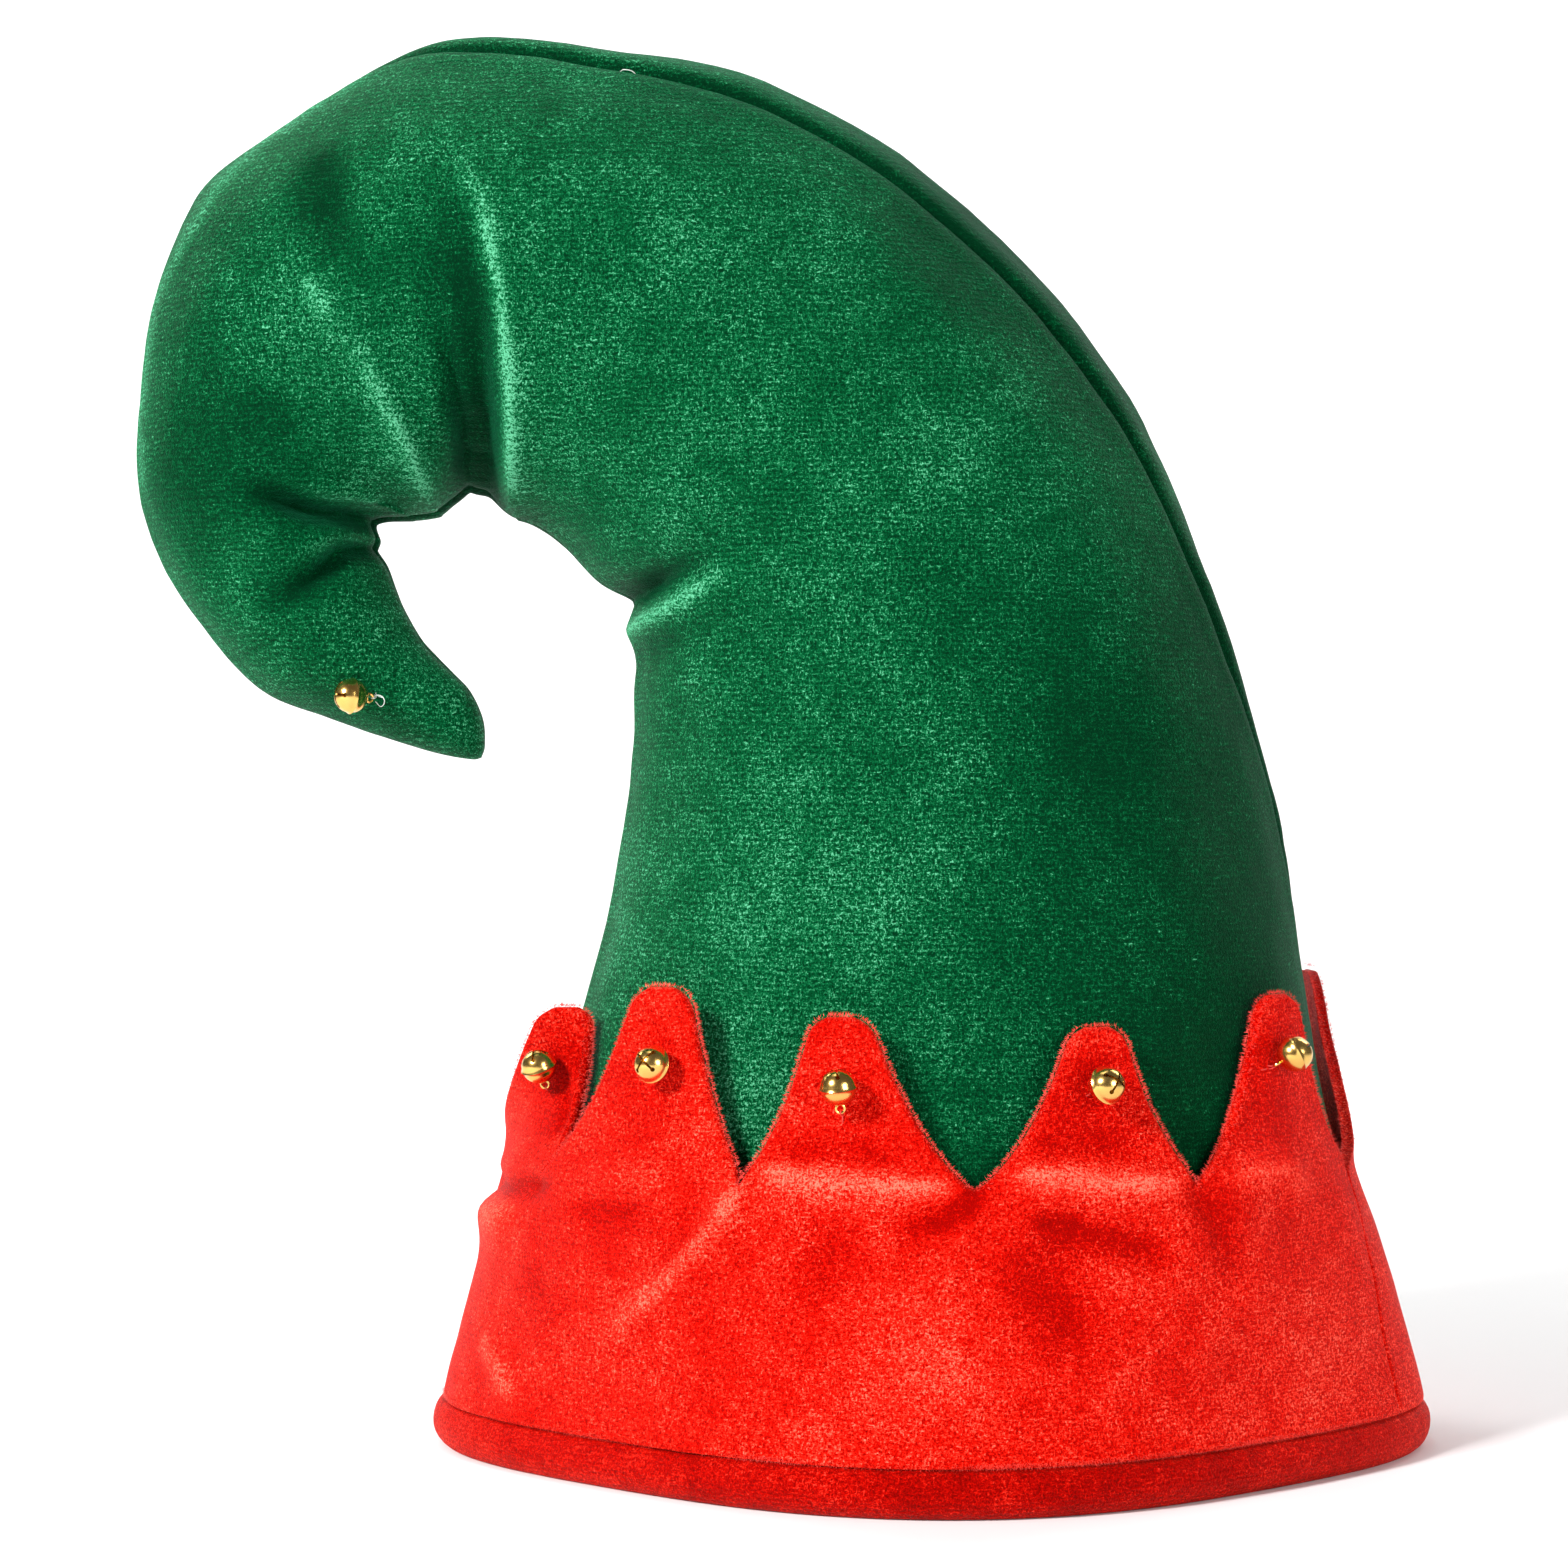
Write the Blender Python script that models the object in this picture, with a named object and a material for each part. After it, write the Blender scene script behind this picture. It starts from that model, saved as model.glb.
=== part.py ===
"""Elf hat in velvet pile cloth, filled out as it is worn and standing on its hem.

The crown is a curved horn of two green panels, front and back. A red cuff of two strips, each
cut in five blunt points, is sewn to the hem and turned up outside the crown. A red strip rolled
round the raw edges makes the hem. A small round bell is sewn to each point and one to the tip.
Metres, +Z up, front towards -Y, hem on Z = 0, and the middle of the whole hat over the origin.
"""
import math
from collections import namedtuple

import bmesh
import bpy
from mathutils import Matrix, Vector

MM = 0.001

# Sizes of the cloth, in millimetres
CROWN_WALL = 2.4
CUFF_WALL = 3.0
HEM_WALL = 1.9
SEAM_GAP = 0.3
SEAT_GAP = 0.3

# Divisions of the surfaces
RINGS_PER_SECTION = 1.5
CROWN_COLUMNS = 12
CUFF_COLUMNS = 6
CUFF_BAND_ROWS = 5
HEM_COLUMNS = 48

# The horn, cut across from its outer edge to its inner edge, from the hem to the tip.
# Edges are seen from the front. seam_roll is how far the outer seam lies towards the front.
Section = namedtuple("Section", "outer_x outer_z inner_x inner_z half_depth seam_roll pinch")
CROWN_SECTIONS = (
    Section(149.0, 9.3, -78.4, 9.3, 79.9, 0, 0.094),
    Section(141.9, 33.0, -70.4, 33.0, 74.8, 0, 0.07),
    Section(133.8, 59.3, -60.4, 59.3, 68.4, 0, 0.01),
    Section(127.4, 83.3, -52.6, 83.3, 63.0, 0, 0),
    Section(124.1, 104.9, -47.3, 104.9, 59.5, 0, 0),
    Section(121.4, 128.9, -41.0, 128.9, 56.5, 2, 0),
    Section(116.9, 152.9, -37.2, 152.9, 54.0, 5, 0),
    Section(110.4, 178.1, -35.8, 173.0, 52.0, 9, 0),
    Section(100.6, 208.1, -35.8, 187.5, 50.0, 13, 0),
    Section(84.2, 246.0, -37.4, 199.4, 48.0, 17, 0),
    Section(59.0, 279.6, -45.2, 206.4, 46.5, 18, 0),
    Section(26.6, 307.9, -52.8, 214.4, 45.0, 19, 0),
    Section(-9.4, 326.2, -61.4, 220.6, 44.0, 19, 0),
    Section(-44.2, 332.6, -70.1, 223.0, 42.5, 16, 0),
    Section(-72.0, 334.2, -78.5, 224.4, 40.5, 12, 0),
    Section(-95.6, 328.0, -83.5, 222.6, 38.0, 6, 0),
    Section(-122.6, 311.4, -88.6, 220.9, 35.5, 2, 0),
    Section(-139.9, 296.0, -92.4, 219.8, 33.3, 0, 0),
    Section(-150.0, 271.5, -94.8, 218.9, 31.2, 0, 0),
    Section(-153.3, 249.0, -96.4, 217.4, 29.1, 0, 0),
    Section(-154.1, 230.0, -96.5, 215.0, 27.5, 0, 0),
    Section(-149.6, 212.4, -95.6, 210.6, 25.0, 0, 0),
    Section(-139.4, 195.1, -92.6, 201.8, 22.0, 0, 0),
    Section(-125.3, 179.5, -87.4, 191.8, 18.5, 0, 0),
    Section(-110.2, 172.8, -80.6, 184.6, 15.0, 0, 0),
    Section(-95.8, 167.8, -75.4, 179.3, 12.0, 0, 0),
    Section(-84.0, 164.0, -72.2, 172.8, 8.5, 0, 0),
    Section(-75.6, 162.4, -71.6, 166.4, 3.6, 0, 0),
    Section(-72.6, 163.0, -72.6, 163.0, 0.0, 0, 0),
)

# Folds of the crown, each a line seen from the front, sunk (positive) or raised (negative)
# along its length and fading out at its far end. The back has the same folds, shallower.
Fold = namedtuple("Fold", "from_x from_z to_x to_z sink half_width")
CROWN_FOLDS = (
    Fold(-78.5, 225.4, -79.5, 286.0, 8.0, 5.0),
    Fold(-66.0, 222.5, -67.0, 284.0, -2.6, 5.0),
    Fold(-97.0, 217.5, -125.0, 224.0, 7.0, 3.6),
    Fold(-37.2, 199.2, -17.0, 212.0, 3.8, 4.2),
    Fold(-33.5, 188.0, -7.0, 208.5, -2.2, 5.0),
    Fold(-96.5, 211.5, -121.0, 195.5, 3.4, 3.6),
    Fold(-85.5, 228.0, -112.0, 276.0, -2.2, 7.0),
    Fold(-100.0, 262.0, -106.0, 304.0, 2.2, 7.0),
)
BACK_FOLD_SHARE = 0.75
SEAM_HOLD = 0.4

# The ring of the cuff's outer side at each height, under the points and up to their tips
CuffRing = namedtuple("CuffRing", "z centre_x half_width half_depth pinch")
CUFF_RINGS = (
    CuffRing(10.5, 35.3, 117.4, 83.9, 0.09),
    CuffRing(23.3, 35.4, 114.1, 81.6, 0.085),
    CuffRing(32.9, 35.4, 111.5, 79.8, 0.07),
    CuffRing(42.5, 35.3, 109.0, 77.3, 0.05),
    CuffRing(52.1, 34.8, 106.6, 75.9, 0.03),
    CuffRing(59.3, 34.4, 104.4, 74.7, 0.01),
    CuffRing(67.5, 34.2, 101.7, 72.8, 0),
    CuffRing(76.0, 34.1, 99.3, 70.6, 0),
    CuffRing(85.7, 34.0, 97.4, 68.9, 0),
    CuffRing(95.3, 33.8, 96.4, 67.8, 0),
    CuffRing(112.0, 33.6, 95.3, 67.0, 0),
)

# The cuff's points, counted from the left behind round the front. Angles are round the head,
# 0 at the front and 90 at the right. turn twists a point about its own height, lean tips it
# outwards, and tuck is the depth of the fold across its foot.
Point = namedtuple("Point", "notch_deg tip_deg tip_z width turn_deg lean tuck")
CUFF_POINTS = (
    Point(-102.5, -66.5, 104.4, 0.80, 48, -3.0, 1.6),
    Point(-63.0, -39.8, 110.8, 0.98, 4, 0.4, 1.3),
    Point(-25.9, -12.9, 105.2, 1.06, 0, 0.8, 1.6),
    Point(4.0, 21.6, 102.8, 1.00, 0, 0.8, 1.6),
    Point(34.2, 56.2, 108.2, 1.00, -6, 0.2, 1.1),
    Point(71.4, 115.0, 110.2, 1.04, -44, 16.5, 1.2),
    Point(115.3, 133.0, 106.0, 1.02, 0, 0.6, 1.4),
    Point(152.5, 170.0, 103.6, 1.00, 3, 0.8, 1.5),
    Point(185.3, 200.5, 106.4, 1.04, -4, 0.5, 1.3),
    Point(217.9, 232.0, 105.4, 0.98, 0, 0.6, 1.2),
)
POINTS_IN_FRONT = 5
FULL_TURN = 360.0
NOTCH_Z = 67.5
CUFF_FOOT_OUTER = 10.8
CUFF_FOOT_INNER = 12.0
POINT_ROWS = (0.18, 0.38, 0.58, 0.75, 0.88, 0.955, 1.0)
TIP_ROUNDING = 0.11
TIP_BLUNTNESS = 0.5
FRONT_ARC_PER_DEG = 1.6

# Puckers of the cuff, running down from the notches: angle and height at both ends
Pucker = namedtuple("Pucker", "from_deg from_z to_deg to_z sink half_width")
CUFF_PUCKERS = (
    Pucker(-27.0, 64.0, -44.0, 30.0, -1.3, 5.0),
    Pucker(-22.0, 60.0, -12.0, 40.0, -0.9, 5.0),
    Pucker(3.0, 63.0, -5.0, 58.0, 1.1, 3.0),
    Pucker(34.0, 64.0, 22.0, 53.0, 1.3, 5.0),
    Pucker(36.0, 62.0, 33.0, 38.0, -1.0, 5.0),
    Pucker(-66.0, 58.0, -98.0, 54.0, -1.8, 5.0),
    Pucker(-70.0, 66.5, -100.0, 65.5, 1.1, 2.6),
    Pucker(-58.0, 30.0, -60.0, 14.0, -0.8, 3.5),
    Pucker(115.0, 63.0, 126.0, 36.0, -1.2, 5.0),
    Pucker(152.0, 63.0, 140.0, 34.0, -1.3, 5.0),
    Pucker(185.0, 62.0, 194.0, 42.0, -1.0, 5.0),
    Pucker(218.0, 63.0, 206.0, 35.0, -1.2, 5.0),
)

# The hem is a strip rolled into a C, open at the top where the crown's raw edge goes in
HEM_CENTRE_X = 35.3
HEM_HALF_WIDTH = 119.3
HEM_HALF_DEPTH = 85.8
HEM_PINCH = 0.09
HEM_ROLL_ACROSS = 4.9
HEM_ROLL_UP = 5.9
HEM_ROLL_CENTRE_Z = 5.5
HEM_ROLL_ANGLES = (145, 178, 214, 250, 290, 326, 364, 408, 450)

# The bells, each with the way its loop points: degrees clockwise from straight down,
# and the share by which it dips to the cloth
BELL_RADIUS = 4.0
BELL_BEAD = 0.3
BELL_STEPS = 10
LOOP_RADIUS = 0.95
LOOP_WIRE = 0.32
LOOP_REACH = 4.75
LOOP_DIP_DEG = 30
LOOP_STEPS = 7
LOOP_WIRE_SIDES = 4
CuffBell = namedtuple("CuffBell", "across z loop_deg")
CUFF_BELLS = (
    CuffBell(0.10, 91.5, -6),
    CuffBell(0.22, 94.4, -6),
    CuffBell(-0.04, 90.6, -4),
    CuffBell(0.00, 90.8, 52),
    CuffBell(-0.14, 95.3, 60),
    CuffBell(0.66, 89.0, -20),
    CuffBell(-0.05, 92.0, 12),
    CuffBell(0.05, 91.0, -35),
    CuffBell(0.00, 92.5, 8),
    CuffBell(0.05, 93.5, 25),
)
TIP_BELL_SECTION = 23.7
TIP_BELL_ROUND_DEG = 81
TIP_BELL_LOOP_DEG = -66

COLOURS = {
    "green velvet": ((0.004, 0.105, 0.036, 1), 0.75, 0.0),
    "red velvet": ((0.62, 0.006, 0.004, 1), 0.75, 0.0),
    "gold metal": ((0.78, 0.52, 0.16, 1), 0.18, 1.0),
}


def start_empty():
    """Removes the objects of the opened scene and returns a collection for the hat."""
    for thing in list(bpy.data.objects):
        bpy.data.objects.remove(thing)
    collection = bpy.data.collections.new("elf_hat")
    bpy.context.scene.collection.children.link(collection)
    return collection


def material(name):
    """The named finish as a Principled material."""
    if name in bpy.data.materials:
        return bpy.data.materials[name]
    colour, roughness, metallic = COLOURS[name]
    made = bpy.data.materials.new(name)
    made.use_nodes = True
    shader = made.node_tree.nodes["Principled BSDF"]
    shader.inputs["Base Color"].default_value = colour
    shader.inputs["Roughness"].default_value = roughness
    shader.inputs["Metallic"].default_value = metallic
    return made


def along(rows, s):
    """The row of values at place s of a table, on a smooth curve through its rows."""
    last = len(rows) - 1
    i = min(int(s), last - 1)
    t = s - i
    before, a, b, after = rows[max(i - 1, 0)], rows[i], rows[i + 1], rows[min(i + 2, last)]
    values = []
    for p0, p1, p2, p3 in zip(before, a, b, after):
        bend = (2 * p0 - 5 * p1 + 4 * p2 - p3) * t * t + (3 * p1 - p0 - 3 * p2 + p3) * t ** 3
        values.append(0.5 * (2 * p1 + (p2 - p0) * t + bend))
    return type(a)(*values)


def ring_at(z):
    """The cuff's ring at a height, straight between the rows of its table."""
    low = CUFF_RINGS[0]
    for high in CUFF_RINGS[1:]:
        if z <= high.z:
            break
        low = high
    share = (z - low.z) / (high.z - low.z)
    return CuffRing(*(a + (b - a) * share for a, b in zip(low, high)))


def nearness(across, down, start, end, half_width):
    """How near a place is to a fold's line, from 1 on it to 0 away, fading to its far end."""
    run = (end[0] - start[0], end[1] - start[1])
    length_squared = run[0] ** 2 + run[1] ** 2
    gone = ((across - start[0]) * run[0] + (down - start[1]) * run[1]) / length_squared
    held = min(max(gone, 0.0), 1.0)
    miss = math.hypot(across - start[0] - held * run[0], down - start[1] - held * run[1])
    fade = 1.0 - held * held
    return fade * math.exp(-((miss / half_width) ** 2))


def crown_sink(x, z, is_front):
    """How far the folds push the crown in at a place seen from the front."""
    share = 1.0 if is_front else BACK_FOLD_SHARE
    return share * sum(
        f.sink * nearness(x, z, (f.from_x, f.from_z), (f.to_x, f.to_z), f.half_width)
        for f in CROWN_FOLDS
    )


def crown_point(s, round_deg, inset):
    """A point of the crown at section s. round_deg is 0 at the outer edge, 90 at the front,
    180 at the inner edge and negative behind; inset is the depth below the outer side."""
    section = along(CROWN_SECTIONS, s)
    width = Vector((section.outer_x - section.inner_x, 0, section.outer_z - section.inner_z))
    centre = Vector((section.outer_x + section.inner_x, 0, section.outer_z + section.inner_z)) / 2
    half_width = width.length / 2
    half_depth = max(section.half_depth, 0.0)
    if half_width < 0.01:
        return centre
    outward = width.normalized()
    turn = math.radians(round_deg)
    pinched = 1 - section.pinch * math.sin(2 * turn) ** 2
    place = centre + outward * half_width * math.cos(turn) * pinched
    place.y = -half_depth * math.sin(turn) * pinched
    normal = outward * (math.cos(turn) / half_width)
    normal.y = -math.sin(turn) / max(half_depth, 0.01)
    normal.normalize()
    narrow = min(half_width, half_depth)
    off_seam = SEAM_HOLD + (1 - SEAM_HOLD) * min(1.0, 2.5 * abs(math.sin(turn)))
    sink = crown_sink(place.x, place.z, round_deg > 0) * min(1.0, narrow / 20) * off_seam
    depth = sink + min(inset, 0.55 * narrow)
    return place - normal * depth


def crown_panel(name, collection, is_front):
    """One panel of the crown, from the outer seam round to the inner seam."""
    last = len(CROWN_SECTIONS) - 1
    ring_count = int(last * RINGS_PER_SECTION)
    outer, inner = [], []
    side = -1 if is_front else 1
    for i in range(ring_count + 1):
        s = last * i / ring_count
        pulled_back = s - 1.6 * (s / last) ** 24
        outer_row, inner_row = [], []
        for j in range(CROWN_COLUMNS + 1):
            share = j / CROWN_COLUMNS
            roll = max(along(CROWN_SECTIONS, s).seam_roll, 0.0)
            if is_front:
                turn = roll + (180 - roll) * share
            else:
                turn = roll - (180 + roll) * share
            at_seam = j in (0, CROWN_COLUMNS) or i == ring_count
            shift = Vector((0, side * SEAM_GAP / 2 if at_seam else 0, 0))
            outer_row.append(crown_point(s, turn, 0) + shift)
            inner_row.append(crown_point(pulled_back, turn, CROWN_WALL) + shift)
        outer.append(outer_row)
        inner.append(inner_row)
    middle = sum(inner[-1], Vector()) / len(inner[-1])
    inner[-1] = [Vector((middle.x, side * SEAM_GAP / 2, middle.z)) for _ in inner[-1]]
    return cloth(name, collection, "green velvet", outer, inner)


def sheet_faces(rows):
    """The four-sided faces between the rows of a grid, as places (row, column)."""
    faces = []
    for i in range(len(rows) - 1):
        for j in range(len(rows[i]) - 1):
            faces.append(((i, j), (i, j + 1), (i + 1, j + 1), (i + 1, j)))
    return faces


def cloth(name, collection, finish, outer, inner, faces=None):
    """A closed wall of cloth between an outer and an inner grid of the same layout."""
    faces = faces or sheet_faces(outer)
    built = bmesh.new()
    sides = []
    for grid in (outer, inner):
        corners = {}
        for i, row in enumerate(grid):
            for j, place in enumerate(row):
                corners[i, j] = built.verts.new(place * MM)
        sides.append(corners)
    over, under = sides
    edge_use = {}
    for face in faces:
        built.faces.new([over[c] for c in face])
        built.faces.new([under[c] for c in reversed(face)])
        for a, b in zip(face, face[1:] + face[:1]):
            key = frozenset((over[a].co.to_tuple(8), over[b].co.to_tuple(8)))
            edge_use.setdefault(key, []).append((a, b))
    for uses in edge_use.values():
        if len(uses) == 1:
            a, b = uses[0]
            built.faces.new([over[b], over[a], under[a], under[b]])
    bmesh.ops.remove_doubles(built, verts=built.verts, dist=1e-6)
    bmesh.ops.dissolve_degenerate(built, edges=built.edges, dist=1e-6)
    bmesh.ops.triangulate(built, faces=built.faces)
    bmesh.ops.recalc_face_normals(built, faces=built.faces)
    return add_mesh(name, collection, finish, built)


def add_mesh(name, collection, finish, built):
    """Turns a bmesh into a named, smooth object with its finish."""
    mesh = bpy.data.meshes.new(name)
    built.to_mesh(mesh)
    built.free()
    mesh.shade_smooth()
    mesh.set_sharp_from_angle(angle=math.radians(50))
    mesh.materials.append(material(finish))
    made = bpy.data.objects.new(name, mesh)
    collection.objects.link(made)
    return made


def cuff_relief(round_deg, z):
    """How far folds and puckers push the cuff in at a place of its unrolled strip."""
    sink = 0.0
    for p in all_cuff_folds():
        for wrap in (-FULL_TURN, 0, FULL_TURN):
            start = ((p.from_deg + wrap) * FRONT_ARC_PER_DEG, p.from_z)
            end = ((p.to_deg + wrap) * FRONT_ARC_PER_DEG, p.to_z)
            place = round_deg * FRONT_ARC_PER_DEG
            sink += p.sink * nearness(place, z, start, end, p.half_width)
    return sink


def all_cuff_folds():
    """The puckers, and across each point's foot a ridge between two shallow troughs."""
    folds = list(CUFF_PUCKERS)
    for k, point in enumerate(CUFF_POINTS):
        left, right = notch_deg(k), notch_deg(k + 1)
        reach = right - left
        for rise, sink, half_width in ((-1.5, -0.9, 4.0), (5.5, 0.6, 3.0), (-9.0, 0.5, 4.5)):
            ends = (left + 0.12 * reach, right - 0.10 * reach)
            depth = sink * point.tuck
            folds.append(Pucker(ends[0], NOTCH_Z + rise, ends[1], NOTCH_Z + rise, depth, half_width))
    return folds


def notch_deg(k):
    """The angle of notch k, going on past a full turn."""
    count = len(CUFF_POINTS)
    return CUFF_POINTS[k % count].notch_deg + FULL_TURN * (k // count)


def cuff_point(round_deg, z, inset, outwards=0.0):
    """A point of the cuff, outwards of its ring by a distance and inset below its outer side."""
    ring = ring_at(z)
    turn = math.radians(round_deg)
    pinched = 1 - ring.pinch * math.sin(2 * turn) ** 2
    place = Vector((
        ring.centre_x + ring.half_width * math.sin(turn) * pinched,
        -ring.half_depth * math.cos(turn) * pinched,
        z,
    ))
    return place + cuff_normal(round_deg, z) * (outwards - inset - cuff_relief(round_deg, z))


def cuff_normal(round_deg, z):
    """The level direction straight out of the cuff's ring."""
    ring = ring_at(z)
    turn = math.radians(round_deg)
    return Vector((math.sin(turn) / ring.half_width, -math.cos(turn) / ring.half_depth, 0)).normalized()


def point_half_share(rise):
    """Half the width of a cuff point at a share of its height, against half its foot's."""
    down = 1.0 - rise
    width = 0.22 + 0.5 * down + 0.28 * down ** 3
    if down < TIP_ROUNDING:
        cap = math.sqrt(1 - (1 - down / TIP_ROUNDING) ** 2)
        width *= TIP_BLUNTNESS + (1 - TIP_BLUNTNESS) * cap
    return width


def place_on_point(k, across, rise, inset, outwards=0.0):
    """A place on cuff point k. across runs from -1 to 1 and rise from 0 at its foot to 1."""
    point = CUFF_POINTS[k]
    left, right = notch_deg(k), notch_deg(k + 1)
    tip = point.tip_deg
    if tip < left:
        tip += FULL_TURN
    straightening = rise ** 0.5
    middle = (left + right) / 2 * (1 - straightening) + tip * straightening
    width_share = point_half_share(rise) * (1 + (point.width - 1) * rise)
    half_deg = (right - left) / 2 * width_share
    z = NOTCH_Z + (point.tip_z - NOTCH_Z) * rise
    turn = math.radians(point.turn_deg * rise ** 1.5)
    half_arc = half_deg * FRONT_ARC_PER_DEG
    lean = point.lean * rise - across * half_arc * math.sin(turn)
    return cuff_point(middle + across * half_deg * math.cos(turn), z, inset, lean + outwards)


def cuff_strip(name, collection, first):
    """One strip of the cuff: a band with five points, closed to a wall of turned cloth."""
    columns = POINTS_IN_FRONT * CUFF_COLUMNS
    grids = []
    for inset, foot in ((0.0, CUFF_FOOT_OUTER), (CUFF_WALL, CUFF_FOOT_INNER)):
        grid = []
        for i in range(CUFF_BAND_ROWS + 1):
            z = foot + (NOTCH_Z - foot) * i / CUFF_BAND_ROWS
            row = []
            for c in range(columns + 1):
                k, part = first + c // CUFF_COLUMNS, (c % CUFF_COLUMNS) / CUFF_COLUMNS
                turn = notch_deg(k) + (notch_deg(k + 1) - notch_deg(k)) * part
                row.append(cuff_point(turn, z, inset))
            shift_ends(row)
            grid.append(row)
        for k in range(first, first + POINTS_IN_FRONT):
            for rise in POINT_ROWS:
                places = [2 * j / CUFF_COLUMNS - 1 for j in range(CUFF_COLUMNS + 1)]
                grid.append([place_on_point(k, across, rise, inset) for across in places])
        grids.append(grid)
    faces = cuff_faces()
    return cloth(name, collection, "red velvet", grids[0], grids[1], faces)


def shift_ends(row):
    """Draws both ends of a strip's row in by half the seam's gap."""
    for end, beside in ((0, 1), (-1, -2)):
        towards = (row[beside] - row[end]).normalized()
        row[end] = row[end] + towards * SEAM_GAP / 2


def cuff_faces():
    """The faces of one strip: its band, then each point standing on its part of the band."""
    faces = []
    for i in range(CUFF_BAND_ROWS):
        for c in range(POINTS_IN_FRONT * CUFF_COLUMNS):
            faces.append(((i, c), (i, c + 1), (i + 1, c + 1), (i + 1, c)))
    for k in range(POINTS_IN_FRONT):
        above = CUFF_BAND_ROWS + 1 + k * len(POINT_ROWS)
        for j in range(CUFF_COLUMNS):
            c = k * CUFF_COLUMNS + j
            foot = ((CUFF_BAND_ROWS, c), (CUFF_BAND_ROWS, c + 1))
            faces.append((*foot, (above, j + 1), (above, j)))
            for i in range(above, above + len(POINT_ROWS) - 1):
                faces.append(((i, j), (i, j + 1), (i + 1, j + 1), (i + 1, j)))
    return faces


def hem_point(round_deg, roll_deg, inset):
    """A point of the hem's roll: round_deg round the head and roll_deg round the roll."""
    turn, roll = math.radians(round_deg), math.radians(roll_deg)
    across = (HEM_ROLL_ACROSS - inset) * math.cos(roll)
    up = max((HEM_ROLL_UP - inset) * math.sin(roll), inset - HEM_ROLL_CENTRE_Z)
    outward = Vector((math.sin(turn) / HEM_HALF_WIDTH, -math.cos(turn) / HEM_HALF_DEPTH, 0)).normalized()
    pinched = 1 - HEM_PINCH * math.sin(2 * turn) ** 2
    rim = Vector((
        HEM_CENTRE_X + HEM_HALF_WIDTH * math.sin(turn) * pinched,
        -HEM_HALF_DEPTH * math.cos(turn) * pinched,
        HEM_ROLL_CENTRE_Z + up,
    ))
    return rim + outward * (across - HEM_ROLL_ACROSS)


def hem_roll(name, collection):
    """The rolled hem, a C of cloth carried right round the opening."""
    grids = []
    for inset in (0.0, HEM_WALL):
        grid = []
        for i in range(HEM_COLUMNS + 1):
            turn = FULL_TURN * i / HEM_COLUMNS
            grid.append([hem_point(turn, roll, inset) for roll in HEM_ROLL_ANGLES])
        grids.append(grid)
    return cloth(name, collection, "red velvet", grids[0], grids[1])


def bell_shape(built):
    """A closed round bell with the bead of its joined halves round its middle, loop down."""
    bead_share = 0.16
    profile = []
    for degrees in (90, 60, 32, 12):
        turn = math.radians(degrees)
        profile.append((BELL_RADIUS * math.cos(turn), BELL_RADIUS * math.sin(turn)))
    profile[0] = (0.0, BELL_RADIUS)
    profile.append((BELL_RADIUS + BELL_BEAD, 0.0))
    profile += [(r, -z) for r, z in reversed(profile[:-1])]
    profile[4] = (BELL_RADIUS + BELL_BEAD, bead_share)
    profile.insert(5, (BELL_RADIUS + BELL_BEAD, -bead_share))
    verts = [built.verts.new(Vector((r, 0, z)) * MM) for r, z in profile]
    edges = [built.edges.new(pair) for pair in zip(verts, verts[1:])]
    bmesh.ops.spin(
        built, geom=verts + edges, cent=(0, 0, 0), axis=(0, 0, 1),
        angle=math.tau, steps=BELL_STEPS, use_merge=True,
    )
    bmesh.ops.remove_doubles(built, verts=built.verts, dist=1e-6)
    bmesh.ops.recalc_face_normals(built, faces=built.faces)


def loop_mesh(collection):
    """The wire loop at the foot of a bell, as an object to be joined to it."""
    bpy.ops.mesh.primitive_torus_add(
        major_radius=LOOP_RADIUS * MM, minor_radius=LOOP_WIRE * MM,
        major_segments=LOOP_STEPS, minor_segments=LOOP_WIRE_SIDES,
        location=(0, 0, -LOOP_REACH * MM), rotation=(math.pi / 2, 0, 0),
    )
    loop = bpy.context.object
    for owner in list(loop.users_collection):
        owner.objects.unlink(loop)
    collection.objects.link(loop)
    return loop


def bell(name, collection, cutters, place, normal, loop_way):
    """A bell whose ball stands off a place by the seat gap, with its loop dipped to the cloth."""
    built = bmesh.new()
    bell_shape(built)
    made = add_mesh(name, collection, "gold metal", built)
    loop = loop_mesh(cutters)
    joined = made.modifiers.new("loop", "BOOLEAN")
    joined.operation = "UNION"
    joined.object = loop
    bpy.context.view_layer.update()
    mesh = bpy.data.meshes.new_from_object(made.evaluated_get(bpy.context.evaluated_depsgraph_get()))
    made.modifiers.clear()
    made.data = mesh
    bpy.data.objects.remove(loop)

    dip = math.radians(LOOP_DIP_DEG)
    along_cloth = (loop_way - normal * loop_way.dot(normal)).normalized()
    down = (along_cloth * math.cos(dip) - normal * math.sin(dip)).normalized()
    side = normal.cross(down).normalized()
    turned = Matrix((side, down.cross(side) * -1, -down)).transposed()
    stand_off = BELL_RADIUS + BELL_BEAD + SEAT_GAP
    made.matrix_world = Matrix.Translation((place + normal * stand_off) * MM) @ turned.to_4x4()
    return made


def surface_normal(at, u, v, step_u, step_v):
    """The outward normal of a surface at(u, v), from short steps along it."""
    du = at(u + step_u, v) - at(u - step_u, v)
    dv = at(u, v + step_v) - at(u, v - step_v)
    return du.cross(dv).normalized()


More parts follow.
